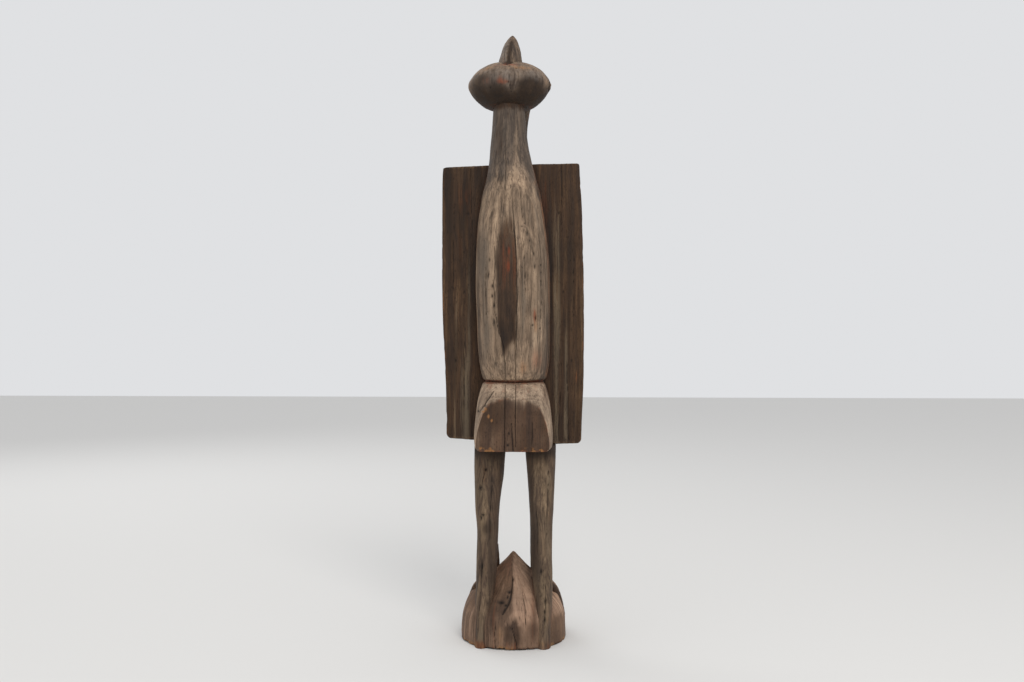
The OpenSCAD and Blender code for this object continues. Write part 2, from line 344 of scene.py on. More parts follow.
class Graph:
    """Short names for building a node tree."""

    def __init__(self, name):
        self.material = bpy.data.materials.new(name)
        self.material.use_nodes = True
        self.tree = self.material.node_tree
        self.tree.nodes.clear()

    def node(self, kind, **settings):
        n = self.tree.nodes.new("ShaderNode" + kind)
        for key, value in settings.items():
            setattr(n, key, value)
        return n

    def put(self, socket, value):
        if hasattr(value, "is_linked"):
            self.tree.links.new(value, socket)
        else:
            socket.default_value = value

    def math(self, operation, a, b=0.0, c=0.0):
        n = self.node("Math", operation=operation)
        for socket, value in zip(n.inputs, (a, b, c)):
            self.put(socket, value)
        return n.outputs[0]

    def times(self, a, b):
        return self.math("MULTIPLY", a, b)

    def plus(self, a, b):
        return self.math("ADD", a, b)

    def minus(self, a, b):
        return self.math("SUBTRACT", a, b)

    def mix(self, share, a, b, blend="MIX"):
        n = self.node("Mix", data_type="RGBA", blend_type=blend, clamp_factor=True)
        self.put(n.inputs[0], share)
        self.put(n.inputs[6], a)
        self.put(n.inputs[7], b)
        return n.outputs[2]

    def range(self, value, low, high, to_low=0.0, to_high=1.0):
        n = self.node("MapRange", interpolation_type="SMOOTHSTEP")
        for socket, v in zip(n.inputs, (value, low, high, to_low, to_high)):
            self.put(socket, v)
        return n.outputs[0]

    def noise(self, vector, scale, detail, roughness):
        n = self.node("TexNoise")
        for key, v in (("Vector", vector), ("Scale", scale), ("Detail", detail), ("Roughness", roughness)):
            self.put(n.inputs[key], v)
        return n.outputs[0]

    def stretch(self, vector, x, y, z):
        n = self.node("VectorMath", operation="MULTIPLY")
        self.put(n.inputs[0], vector)
        n.inputs[1].default_value = (x, y, z)
        return n.outputs[0]

    def ramp(self, value, stops):
        n = self.node("ValToRGB")
        self.put(n.inputs[0], value)
        e = n.color_ramp.elements
        while len(e) < len(stops):
            e.new(0.5)
        for element, (at, colour) in zip(e, stops):
            element.position, element.color = at, colour
        return n.outputs[0]


def shaded(colour, share):
    return tuple(c * share for c in colour[:3]) + (1,)


def wood(
    name, body, weathered, stain_and_shade, rust, worn, cool, pith=(0.0, 0.02), seed=0.0, polish=0.0, busy=1.0,
    spread=0.0
):
    """Old carved wood. Colours are red, green, blue up to 255.

    body and weathered hold three each, dark to light along the grain. A low busy gives the grain more
    contrast, and spread runs it down a cone of about that radius.
    """
    body, weathered = ([linear(*c) for c in tones] for tones in (body, weathered))
    stain_and_shade, rust, worn, cool = (linear(*c) for c in (stain_and_shade, rust, worn, cool))
    g = Graph(name)
    place = g.node("TexCoord").outputs["Object"]
    shift = g.node("VectorMath", operation="ADD")
    g.put(shift.inputs[0], place)
    shift.inputs[1].default_value = (seed * 0.37, seed * 0.11, seed * 0.53)
    place = shift.outputs[0]
    # The grain wanders a little from straight.
    wander = g.node("TexNoise")
    g.put(wander.inputs["Vector"], place)
    wander.inputs["Scale"].default_value = 11
    wander.inputs["Detail"].default_value = 2
    push = g.node("VectorMath", operation="MULTIPLY_ADD")
    g.put(push.inputs[0], wander.outputs["Color"])
    push.inputs[1].default_value = (0.012, 0.012, 0.03)
    g.put(push.inputs[2], place)
    flow = push.outputs[0]
    # Growth rings round the pith show as long arches on the carved surface.
    parts = g.node("SeparateXYZ")
    g.put(parts.inputs[0], flow)
    dx = g.minus(parts.outputs[0], pith[0] + seed * 0.37)
    dy = g.minus(parts.outputs[1], pith[1] + seed * 0.11)
    radius = g.math("SQRT", g.plus(g.times(dx, dx), g.times(dy, dy)))
    if spread:
        fan = g.node("CombineXYZ")
        g.put(fan.inputs[0], g.times(g.math("DIVIDE", dx, g.plus(radius, 0.004)), spread))
        g.put(fan.inputs[1], g.times(g.math("DIVIDE", dy, g.plus(radius, 0.004)), spread))
        g.put(fan.inputs[2], parts.outputs[2])
        flow = fan.outputs[0]
    fibre = g.noise(g.stretch(flow, 1, 1, 0.03), 420, 5, 0.6)
    streak = g.noise(g.stretch(flow, 1, 1, 0.02), 95, 4, 0.6)
    pores = g.noise(g.stretch(flow, 1, 1, 0.16), 780, 2, 0.5)
    blotch = g.noise(place, 13, 4, 0.6)
    ringed = g.node("CombineXYZ")
    g.put(ringed.inputs[0], radius)
    g.put(ringed.inputs[2], g.times(parts.outputs[2], 0.05))
    rings = g.noise(ringed.outputs[0], 330, 3, 0.55)
    broad = g.noise(g.stretch(flow, 1, 1, 0.05), 38, 3, 0.55)
    grainy = g.plus(g.times(fibre, 0.30), g.plus(g.times(streak, 0.34), g.times(rings, 0.16)))
    grainy = g.math("MULTIPLY_ADD", broad, 0.20, grainy)
    tone = g.range(grainy, 0.5 - GRAIN_SPAN / busy, 0.5 + GRAIN_SPAN / busy)
    hairs = g.range(g.noise(g.stretch(flow, 1, 1, 0.014), 240, 2, 0.5), 0.57, 0.69)
    dark_body = g.ramp(tone, [(0.0, body[0]), (0.5, body[1]), (1.0, body[2])])
    pale_body = g.ramp(tone, [(0.0, weathered[0]), (0.5, weathered[1]), (1.0, weathered[2])])

    marks = g.node("Attribute", attribute_name="marks")
    wear = g.node("Attribute", attribute_name="wear")
    m = g.node("SeparateColor")
    g.put(m.inputs[0], marks.outputs["Color"])
    w = g.node("SeparateColor")
    g.put(w.inputs[0], wear.outputs["Color"])
    ragged = g.minus(g.plus(g.times(streak, 0.6), g.times(fibre, 0.4)), 0.5)

    def edge(mask, raggedness, low=0.25, high=0.75):
        # A mask of 0 stays empty and 1 stays full, and in between the grain decides.
        room = g.times(g.times(mask, g.minus(1.0, mask)), raggedness * 4)
        return g.range(g.math("MULTIPLY_ADD", ragged, room, mask), low, high)

    silvered = edge(m.outputs[1], 1.6, 0.1, 0.9)
    colour = g.mix(silvered, dark_body, pale_body)
    colour = g.mix(g.times(hairs, g.math("MULTIPLY_ADD", silvered, 0.34, 0.16)), colour, shaded(body[0], 0.7))
    patch = g.range(blotch, 0.3, 0.7, 0.74, 1.2)
    colour = g.mix(1.0, colour, patch, "MULTIPLY")
    colour = g.mix(
        g.times(edge(w.outputs[2], 2.6, 0.0, 1.0), 0.75), colour, g.mix(tone, shaded(cool, 0.7), cool)
    )
    # The stain colour, which the masks also lay down as painted shade under and between parts.
    dark = g.mix(tone, shaded(stain_and_shade, 0.6), shaded(stain_and_shade, 1.4))
    colour = g.mix(g.times(edge(m.outputs[0], 1.6, 0.12, 0.88), 0.9), colour, dark)
    colour = g.mix(
        g.times(edge(m.outputs[2], 3.0, 0.05, 1.0), 0.72), colour, g.mix(tone, shaded(rust, 0.6), rust)
    )
    colour = g.mix(
        g.times(edge(w.outputs[1], 2.6, 0.1, 1.0), 0.8), colour, g.mix(tone, shaded(worn, 0.65), worn)
    )
    pits = g.times(g.range(pores, 0.60, 0.70), 0.55)
    colour = g.mix(pits, colour, shaded(body[0], 0.35))
    colour = g.mix(w.outputs[0], colour, (0.006, 0.004, 0.003, 1))

    height = g.plus(g.times(fibre, 0.55), g.times(rings, 0.25))
    height = g.minus(g.plus(height, g.times(streak, 0.3)), g.times(pits, 0.6))
    bump = g.node("Bump")
    bump.inputs["Strength"].default_value = 0.75
    bump.inputs["Distance"].default_value = 0.0014
    g.put(bump.inputs["Height"], height)
    shader = g.node("BsdfPrincipled")
    shader.inputs["IOR"].default_value = 1.45
    shader.inputs["Specular IOR Level"].default_value = 0.32
    g.put(shader.inputs["Base Color"], colour)
    g.put(
        shader.inputs["Roughness"],
        g.range(g.plus(tone, g.times(blotch, 0.6)), 0.2, 1.4, 0.62 - polish, 0.92 - polish)
    )
    g.put(shader.inputs["Normal"], bump.outputs[0])
    out = g.node("OutputMaterial")
    g.put(out.inputs[0], shader.outputs[0])
    return g.material


tan = ((91, 74, 59), (140, 118, 97), (174, 149, 124))
grey = ((63, 53, 45), (90, 77, 67), (115, 99, 86))
torso_wood = wood(
    "torso_wood", grey, tan, (56, 37, 23), (130, 63, 37), (145, 99, 61), (96, 86, 76), (0.004, 0.03), seed=0
)
wing_wood = wood(
    "wing_wood", ((48, 33, 22), (68, 49, 34), (89, 67, 48)), ((82, 64, 47), (111, 90, 66), (137, 113, 86)),
    (43, 31, 22), (98, 56, 35), (131, 85, 53), (112, 99, 82), (0.0, 0.05), seed=1, busy=0.85
)
tail_wood = wood(
    "tail_wood", ((65, 47, 36), (90, 68, 53), (110, 86, 68)),
    ((117, 98, 80), (156, 134, 113), (187, 163, 139)), (65, 47, 34), (122, 64, 37), (163, 114, 69),
    (114, 100, 84), (0.004, 0.03), seed=2, busy=0.85
)
head_wood = wood(
    "head_wood", ((49, 37, 29), (73, 59, 48), (100, 83, 68)),
    ((94, 77, 64), (127, 107, 89), (154, 132, 111)), (42, 29, 18), (146, 80, 54), (150, 112, 79),
    (119, 110, 103), (0.0, 0.03), seed=3, polish=0.06, busy=0.8
)
leg_wood = wood(
    "leg_wood", ((53, 41, 32), (85, 68, 55), (112, 93, 75)),
    ((88, 71, 56), (123, 103, 81), (147, 125, 100)), (46, 35, 28), (118, 68, 40), (145, 108, 71),
    (95, 86, 73), (0.0, 0.0), seed=4, busy=0.72
)
mound_wood = wood(
    "mound_wood", ((76, 56, 43), (106, 82, 64), (130, 103, 83)),
    ((124, 97, 78), (157, 127, 105), (182, 151, 127)), (57, 41, 31), (126, 74, 48), (159, 117, 76),
    (109, 96, 82), (0.0, 0.0), seed=5, busy=0.6, spread=0.09
)
dowel_wood = wood(
    "dowel_wood", ((122, 89, 55), (163, 124, 79), (190, 149, 99)),
    ((153, 118, 77), (184, 145, 99), (204, 166, 118)), (92, 64, 39), (153, 93, 51), (194, 145, 92),
    (153, 131, 99), (0.0, 0.0), seed=6
)

# ---------------------------------------------------------------- sizes

HIP = mm("left_leg")[1][2]
WAIST = mm("tail")[1][2]
NECK = middle("neck_dowel")
NECK_TOP = mm("torso")[1][2]
HEAD_RISE = 48
HEAD = mm("head")[1][2] - HEAD_RISE
TOP = mm("crest")[1][2]
SEAT = mm("tail")[1][1]
EYES = middle("right_eye") - middle("left_eye")
TURN = math.atan2(EYES[1], EYES[0])
mound_lo, mound_hi = mm("mound")
torso_lo, torso_hi = mm("torso")
B = (torso_hi[0] - torso_lo[0]) / 2 * 0.995
HR = 84.0
SHOULDER = TOP * 0.785
EYE_Y = 8


def loft(rows, rings, sides, dense=None, weights=(1, 0.5, 1, 0.5, 0.7, 0.7, 0)):
    return upright(spaced(curved(rows), rings, np.array(weights)), sides, dense)


def on_neck(g):
    """Points on the head, which is turned over the neck."""
    c, s = math.cos(TURN), math.sin(TURN)
    x, y = g[..., 0], g[..., 1]
    return np.stack([NECK[0] + c * x - s * y, NECK[1] + s * x + c * y, g[..., 2]], -1)


def relief(g, lumps=0.9, scoops=0.5, fibre=0.3, seed=0, cell=(24, 24, 46), lines=(4, 4, 80)):
    return (
        lumps * layered(g, (60, 60, 120), seed) + hewn(g, scoops, cell, seed + 5)
        + grooves(g, fibre, lines, seed + 9)
    )


def pushed(g, d):
    return g + normals(g) * d[..., None]


def band(p, left, right, soft, fade=None):
    """1 between two edges, each a table of [z, x], and 0 outside. Its ends fade over the height fade."""
    fade = soft if fade is None else fade
    x, z = p[..., 0], p[..., 2]
    out = step(-soft, soft, x - along(z, left)) * step(-soft, soft, along(z, right) - x)
    low, high = max(left[0][0], right[0][0]), min(left[-1][0], right[-1][0])
    return out * step(low - fade, low + fade, z) * step(high + fade, high - fade, z)


def back_of(p, y=-5.0):
    return step(y + 4, y - 4, p[..., 1])


def front_of(p, y=5.0):
    return step(y - 4, y + 4, p[..., 1])


def cracks(p, paths, where=1.0):
    """Depth from 0 to 1 of the deepest crack at each point. A path is (width, [[z, x, share], ...])."""
    out = np.zeros(p.shape[:-1])
    wavy = p.copy()
    wavy[..., 0] += 0.8 * noise(p, (200, 200, 14), 91)
    for width, path in paths:
        out = np.maximum(out, split(wavy, path, width))
    return out * where


def pits(p, places, where=1.0):
    out = np.zeros(p.shape[:-1])
    for x, z, w, h in places:
        out = np.maximum(out, spot(p, x, z, w, h))
    return out * where


# ---------------------------------------------------------------- mound

R, H = (mound_hi[0] - mound_lo[0]) / 2, mound_hi[2] + 2
rows = [
    [h * H, 0, w * R, 0, w * R, w * R, q]
    for h, w, q in [
        [0.00, 1.00, 2.0], [0.14, 0.99, 2.0], [0.28, 0.97, 2.0], [0.39, 0.92, 1.9], [0.50, 0.84, 1.65],
        [0.60, 0.705, 1.4], [0.72, 0.50, 1.18], [0.82, 0.31, 1.08], [0.91, 0.155, 1.04], [0.97, 0.06, 1.04],
        [1.00, 0.012, 1.1]
    ]
]
g = rounded(loft(rows, 170, 440), 3, 0)
x, y, z = g[..., 0], g[..., 1], g[..., 2]
behind = back_of(g)
knots = pits(g, [
    (2, 126, 3, 4), (0, 108, 3, 6), (-5, 106, 4, 3), (-20, 88, 8, 3), (-11, 84, 4, 3), (-8, 98, 2, 3)
], behind)
crack = cracks(g, [
    (5.4, [
        [66, -17, 0.3], [74, -13, 0.8], [85, -7, 1], [95, -2, 0.9], [108, 1, 0.6], [121, 2, 0.5],
        [132, 2.5, 0.2]
    ]),
    (1.6, [[4, 12, 0.6], [20, 9, 0.8], [44, 2, 0.4]]),
    (1.4, [[2, -30, 0.7], [30, -33, 0.7], [58, -29, 0.2]]),
    (1.3, [[40, 30, 0.3], [74, 28, 0.8], [104, 22, 0.3]])
], behind)
crack = np.maximum(
    crack,
    cracks(g, [
        (2.4, [[0, 14, 1], [40, 8, 0.8], [80, 12, 0.3]]),
        (1.6, [[10, -48, 0.4], [52, -52, 1], [84, -44, 0.3]])
    ], front_of(g))
)
rim = step(13, 0, z)
bites = (
    np.maximum(layered(g * (1, 1, 0), (17, 17, 9), 33) - 0.12, 0) * 10
    + np.maximum(noise(g * (1, 1, 0), (46, 46, 9), 37), 0) * 2.5
)
ray = g / (np.sqrt(x**2 + y**2)[..., None] + 5) * 90
ray[..., 2] = z
d = (
    relief(g, 1.3, 0.9, 0.0, 3, (22, 22, 40)) + grooves(ray, 0.4, (4, 4, 80), 12) - 3.2 * crack
    - 2.6 * knots - rim * bites * 0.5
)
d -= 1.6 * behind * spot(g, 3, 50, 20, 13)
wedge = behind * step(0, 10, 72 - z) * step(0, 8, z - 44) * step(7, 0, np.abs(x - 4) - (72 - z) * 0.55)
g = pushed(g, d * step(0, 3, np.abs(z - H) + 0.2))
g[..., 2] -= (6 * step(46, 74, x) + step(-46, -74, x)) * step(50, 90, z) * behind
g[..., 2] = np.maximum(g[..., 2], 0) + bites * np.clip(1 - g[..., 2] / 9, 0, 1) * 0.6
sole = step(7, 0, z)
# The right face of the back ridge is paler and the left face darker: partly the wood's own colour, partly
# painted light from the right and painted shade on the left.
masks = {
    "pale": 0.46 + 0.24 * layered(g, (26, 26, 60), 41)
        + behind * (
            0.4 * step(-3, 5, x) * step(44, 66, z) - 0.42 * step(50, 76, x) - 0.12 * step(-56, -80, x)
            + 0.7 * wedge + 0.05 * step(62, 86, np.abs(x)) - 0.25 * step(3, -3, x) * step(60, 90, z)
        ),
    "stain_and_shade": behind * (
            spot(g, 3, 28, 13, 29) * (1.0 + 0.7 * noise(g, (5, 5, 40), 46))
            + spots(
                g, (0.45, -20, 72, 13, 20), (0.4, -38, 70, 7, 60), (0.6, 46, 62, 9, 60),
                (0.4, 30, 26, 20, 30))
        ) + 0.6 * sole + 0.25 * patches(g, 0.1, 0.6, (30, 30, 50), 47) + 0.12 * behind * step(0, -8, x),
    "rust": behind * (
            spots(
                g, (0.6, 0, 6, 16, 12), (0.45, -32, 60, 5, 60), (1, -60, 6, 8, 16), (0.4, 42, 100, 4, 30),
                (0.35, 42, 50, 9, 50)) + 0.4 * step(3, -6, x) * step(100, 150, z)
        ) + 0.4 * rim * patches(g, 0, 0.5, (14, 14, 30), 43),
    "worn": rim * step(0.1, 0.6, noise(g * (1, 1, 0), (15, 15, 9), 44)) * 0.8
        + behind * 0.4 * spot(g, -20, 30, 12, 22),
    "cool": 0.35 * behind * spot(g, 12, 110, 14, 24) + 0.25 * patches(g, 0.2, 0.7, (36, 36, 60), 45),
    "gap": np.maximum(crack, knots)**1.1,
}
make("mound", [(g, masks)], mound_wood)

# ---------------------------------------------------------------- legs

left_leg_rows = [
    [0.00, 59, 14.5, -73, 24.5], [0.07, 58, 14.5, -69, 25.5], [0.21, 55, 17.5, -57, 29],
    [0.34, 52, 20, -44, 30.5], [0.45, 51, 20.8, -37, 28.5], [0.57, 50, 21.3, -32, 27.5],
    [0.69, 51, 24.6, -26, 27.5], [0.82, 49, 29, -18, 29.5], [0.92, 48, 31.5, -11, 30.5],
    [1.00, 47, 32.5, -8, 31.5]
]
right_leg_rows = [
    [0.00, 63, 14.5, -73, 24.5], [0.07, 63, 14.5, -69, 25.5], [0.21, 62.5, 17.5, -57, 29],
    [0.34, 60, 20.5, -44, 30.5], [0.45, 57.5, 21.8, -37, 28.5], [0.57, 57.5, 22.3, -32, 27.5],
    [0.69, 57.5, 24.5, -26, 27.5], [0.82, 57, 27.5, -18, 29.5], [0.92, 56, 30, -11, 30.5],
    [1.00, 55, 31.5, -8, 31.5]
]
leg_marks = {
    "left_leg": (
        left_leg_rows, -1,
        [(-53, 343, 3, 4), (-65, 306, 3.5, 4.5), (-58, 254, 5, 3), (-62, 248, 2.5, 5), (-60, 155, 3, 14)],
        [
            (1.6, [[300, -64, 0.3], [326, -58, 1], [345, -54, 0.4]]),
            (1.3, [[60, -64, 0.5], [110, -60, 1], [170, -58, 0.4]]),
            (1.1, [[170, -45, 0.4], [240, -44, 0.9], [330, -40, 0.3]])
        ]),
    "right_leg": (
        right_leg_rows, 1, [(67, 91, 3, 5), (66, 71, 3, 6), (66, 56, 3, 6), (58, 147, 3, 6)],
        [
            (1.4, [[40, 66, 0.5], [80, 67, 1], [125, 68, 0.3]]),
            (1.2, [[170, 52, 0.4], [220, 50, 1], [300, 47, 0.3]]),
            (1.1, [[190, 68, 0.4], [250, 70, 0.8], [340, 72, 0.3]])
        ]),
}
for name, (leg_rows, way, holes, lines) in leg_marks.items():
    rows = [[h * HIP, way * x, w, y, d, d, 2.3] for h, x, w, y, d in leg_rows]
    g = loft(rows, 250, 120)
    z = g[..., 2]
    behind = back_of(g, -40 + 0.08 * HIP)
    middle_x = along(z, [[r[0], r[1]] for r in rows])
    across = (g[..., 0] - middle_x) / along(z, [[r[0], r[2]] for r in rows])
    hole = pits(g, holes, behind)
    crack = cracks(g, lines, behind)
    crack = np.maximum(
        crack,
        cracks(g, [
            (1.4, [[90, way * 56, 0.3], [210, way * 52, 1], [300, way * 48, 0.3]]),
            (1.1, [[230, way * 62, 0.2], [300, way * 60, 1], [388, way * 57, 0.9]])
        ], 1 - behind)
    )
    d = relief(g, 0.7, 0.55, 0.55, 11 + way, (18, 18, 42), (3.6, 3.6, 90)) - 2.2 * crack - 2.4 * hole
    base = step(60, 0, z) * behind
    d -= 1.4 * base * np.maximum(layered(g, (9, 9, 26), 51), 0)
    g = pushed(g, d)
    g[..., 2] = np.clip(g[..., 2], 0, HIP)
    low = step(150, 40, z)
    inner = step(0.0, 1.0, -way * across)
    sides_of = step(0.55, 1.0, np.abs(across))
    masks = {
        "pale": 0.4 - 0.3 * inner + 0.35 * layered(g, (12, 12, 120), 52 + way)
            + (
                spots(
                    g, (0.45, 63, 310, 9, 40), (0.2, 67, 206, 5, 60), (0.4, 67, 80, 3.5, 50),
                    (0.6, 61, 112, 10, 20), (0.4, 46, 122, 9, 34)) if way > 0
                else spots(g, (0.45, -63, 236, 5, 12), (0.25, -72, 250, 5, 120))),
        # The stain mask also darkens the tops of the legs just under the tail: painted shadow of the tail.
        "stain_and_shade": behind * (
                spots(g, (0.7, 47, 200, 11, 80), (0.4, 54, 110, 7, 60)) if way > 0
                else spots(
                    g, (0.5, -52, 228, 12, 16), (0.6, -43, 160, 9, 80), (0.4, -58, 150, 7, 50),
                    (0.4, -43, 300, 4, 60))
            ) + 0.85 * step(44, 6, HIP - z) + 0.3 * patches(g, 0.15, 0.6, (10, 10, 90), 54 + way),
        "rust": low * sides_of * 0.45 + 0.9 * base * step(22, 4, z) * (1.0 if way < 0 else 0.35)
            + 0.25 * patches(g, 0.2, 0.7, (14, 14, 60), 57 + way),
        "worn": 0.8 * step(26, 4, z) * behind * patches(g, -0.2, 0.5, (8, 8, 24), 58)
            + 0.35 * patches(g, 0.25, 0.7, (18, 18, 46), 59) * sides_of,
        "cool": 0.35 * patches(g, -0.1, 0.6, (14, 14, 100), 60 + way),
        "gap": np.maximum(crack, hole)**1.3,
    }
    make(name, [(g, masks)], leg_wood)

# ---------------------------------------------------------------- feet


def path_loft(rows, rings, sides, outline_of):
    """Rings across a path that runs forward and down.

    A row is [x, y, z, ...] and outline_of(row) gives its ring.
    """
    path = spaced(curved(rows), rings, np.array([1, 1, 1] + [0.6] * (len(rows[0]) - 3)))
    run = np.gradient(path[:, :3], axis=0)
    dip = np.arctan2(-run[:, 2], run[:, 1])
    out = []
    for row, a in zip(path, dip):
        ring = even(outline_of(row), sides)
        out.append(
            np.stack([
                row[0] - ring[:, 0], row[1] + ring[:, 1] * math.sin(a), row[2] + ring[:, 1] * math.cos(a)
            ], 1)
        )
    far = np.concatenate([[0], np.cumsum(np.sqrt(((path[1:, :3] - path[:-1, :3])**2).sum(1)))])
    return np.array(out), far


toe_rows = [
    [
        [44, -22, 1.10, 7], [44, -8, 0.94, 9], [44, 20, 0.76, 10], [43, 56, 0.61, 10.5], [41, 84, 0.45, 10],
        [40, 97, 0.27, 9], [39, 103, 0.12, 7], [39, 106, 0.03, 3.5]],
    [
        [57, -26, 0.73, 6], [62, 8, 0.68, 8], [68, 42, 0.55, 10], [73, 68, 0.36, 9.5], [76, 79, 0.17, 7.5],
        [77, 82, 0.03, 3]],
    [
        [69, -26, 0.70, 6], [80, -6, 0.60, 8], [88, 14, 0.46, 9], [95, 30, 0.29, 8], [100, 40, 0.13, 6],
        [101, 43, 0.03, 3]]
]
for name, way in (("left_foot", -1), ("right_foot", 1)):
    inward = 8 if way < 0 else 0
    parts = []
    for n, toe in enumerate(toe_rows):
        last = len(toe) - 1
        g, far = path_loft(
            [[way * x + inward * (1 - i / last), y, h * H, r] for i, (x, y, h, r) in enumerate(toe)], 130,
            72, lambda row: outline(row[3] * 1.02, row[3], row[3], 2.15, 360)
        )
        length = far[-1]
        share = (far / length)[:, None] * np.ones(g.shape[1])
        joint = ridge((share - 0.42) * length, 0, 1.6) + ridge((share - 0.64) * length, 0, 1.6)
        nail = ridge((share - 0.8) * length, 0, 1.3)
        d = (
            relief(g, 0.5, 0.4, 0.25, 61 + n, (13, 13, 20), (3.5, 14, 14)) - 0.9 * joint - 1.5 * nail
            - 0.6 * step(0.8, 0.84, share)
        )
        g = pushed(g, d)
        g[..., 2] = np.maximum(g[..., 2], 0.3)
        # The undersides of the toes and the toes near the floor are painted darker, with a little of the
        # near-black crack colour: painted shade.
        underside_shade = step(0.5, -0.5, np.sin(np.arange(72) / 72 * 2 * math.pi))[None, :]
        masks = {
            "pale": 0.35 + 0.35 * layered(g, (16, 16, 16), 63) + 0.25 * step(0.82, 0.86, share),
            "stain_and_shade": 0.75 * underside_shade + 0.8 * nail + 0.5 * joint + 0.35 * patches(g, 0.1, 0.6, (16, 16, 24), 64)
                + 0.5 * step(10, 0, g[..., 2]),
            "worn": 0.55 * patches(g, 0.0, 0.6, (9, 9, 9), 65) * step(0.1, 0.3, share),
            "rust": 0.35 * patches(g, 0.1, 0.7, (14, 14, 22), 66),
            "cool": 0.2 * patches(g, 0.2, 0.6, (22, 22, 22), 67),
            "gap": 0.35 * nail + 0.25 * underside_shade,
        }
        parts.append((g, masks))
    make(name, parts, mound_wood)

# ---------------------------------------------------------------- torso

torso_rows = [
    [0.000, 0.03, 0.96, 0.80, 0.60], [0.070, 0.03, 0.95, 0.80, 0.74], [0.140, 0.03, 0.87, 0.80, 0.84],
    [0.178, 0.03, 0.805, 0.78, 0.89], [0.186, 0.03, 0.80, 0.80, 0.90], [0.197, 0.03, 0.86, 0.90, 0.94],
    [0.230, 0.03, 0.93, 0.99, 1.02], [0.278, 0.02, 0.965, 1.04, 1.08], [0.360, 0.01, 0.99, 1.06, 1.12],
    [0.450, -0.01, 1.00, 1.06, 1.06], [0.542, -0.02, 0.98, 1.03, 0.96], [0.630, -0.04, 0.92, 0.96, 0.84],
    [0.718, -0.045, 0.80, 0.86, 0.71], [0.770, -0.05, 0.68, 0.76, 0.60], [0.820, -0.07, 0.585, 0.66, 0.52],
    [0.883, -0.105, 0.50, 0.54, 0.46], [0.932, -0.11, 0.455, 0.47, 0.44], [1.000, -0.11, 0.41, 0.42, 0.41]
]
rows = [
    [HIP + h * (NECK_TOP - HIP), x * B, w * B, NECK[1], b * B, f * B, 2.1] for h, x, w, b, f in torso_rows
]
g = rounded(loft(rows, 400, 236, lambda x, y: 1 + 1.5 * np.exp(-(((x + 8) / 30)**2)) * (y < NECK[1])), 5, 0)
x, y, z = g[..., 0], g[..., 1], g[..., 2]
behind, ahead = back_of(g, -20), front_of(g, 0)
half = along(z, [[r[0], r[2]] for r in rows])
lean = along(z, [[r[0], r[1]] for r in rows])
off_axis = np.abs(x - lean) / half
stripe_left = (
    x
    - along(z, [
        [560, -15], [572, -17], [590, -20], [604, -20], [625, -25], [665, -28], [704, -29], [742, -31],
        [780, -31], [820, -27], [846, -19], [872, -9]
    ]) + 1.6 * noise(g, (40, 40, 16), 24)
)
stripe_right = (
    along(z, [
        [572, -9], [590, -3], [600, 3], [614, 9], [640, 10.6], [680, 11.8], [757, 10.6], [800, 9], [840, 6],
        [872, -1]
    ]) - x
)
stripe_soft = along(z, [[572, 7], [600, 5.5], [640, 3.4], [780, 4.2], [830, 9], [872, 12]])
stripe = (
    behind * step(-1, 1, stripe_left / stripe_soft) * step(
        -1, 1,
        stripe_right
        / along(z, [[560, 10], [590, 16], [625, 12], [645, 5], [662, 1.5], [805, 1.5], [872, 12]])
    ) * step(552, 578, z) * step(876, 832, z)
)
stripe_tone = (
    along(z, [
        [556, 0.4], [572, 0.8], [588, 1.05], [604, 1.3], [632, 1.2], [660, 1.0], [700, 0.85], [760, 0.76],
        [806, 0.78], [834, 0.5], [872, 0.22]
    ]) * (1 + 0.25 * layered(g, (9, 30, 46), 25))
)
crack = cracks(g, [
    (1.7, [
        [524, 8, 0.4], [537, 8.2, 0.7], [587, 9.7, 0.7], [640, 11, 0.9], [680, 11.8, 1], [757, 10.6, 1],
        [800, 8, 0.9], [819, 5.4, 0.8], [850, 3.6, 0.5], [881, 2.7, 0.25]
    ]),
    (1.3, [
        [524, -12, 0.6], [583, -14, 0.9], [604, -19, 0.6], [618, -25.5, 0.5], [660, -33, 0.6],
        [703, -35, 0.9], [742, -32.4, 0.9], [770, -33.4, 0.8], [792, -34.6, 0.3]
    ]),
    (1.2, [[640, -50, 0.3], [700, -53, 0.9], [762, -50, 0.3]]),
    (1.0, [[690, 27, 0.3], [748, 27, 1], [800, 22, 0.3]]),
    (1.0, [[620, 56, 0.2], [690, 60, 0.9], [776, 57, 0.3]]),
    (0.9, [[880, -14, 0.3], [940, -12, 0.9], [1010, -13, 0.3]]),
    (0.9, [[830, 24, 0.2], [876, 19, 0.8], [930, 13, 0.3]])
], behind)
crack = np.maximum(
    crack,
    cracks(g, [
        (2.0, [[392, 10, 0.8], [470, 6, 0.9], [560, 12, 0.2]]),
        (1.6, [[560, -34, 0.2], [650, -38, 1], [760, -30, 0.3]]),
        (1.4, [[700, 22, 0.2], [800, 16, 1], [900, 6, 0.2]])
    ], ahead)
)
hole = pits(g, [
    (48, 645, 1.6, 6), (42, 631, 2.2, 2.6), (-38, 708, 2.4, 5), (-38, 688, 2, 4), (-34.6, 669, 2.4, 6),
    (-34.6, 637, 2, 8), (27, 831, 1.8, 1.6), (21, 825, 1.6, 1.6), (31, 812, 1.4, 4), (36, 797, 1.4, 2),
    (44.6, 772, 1.2, 4), (46.5, 747, 1.4, 5), (-44, 760, 1.6, 5), (-46, 730, 1.4, 8)
], behind)
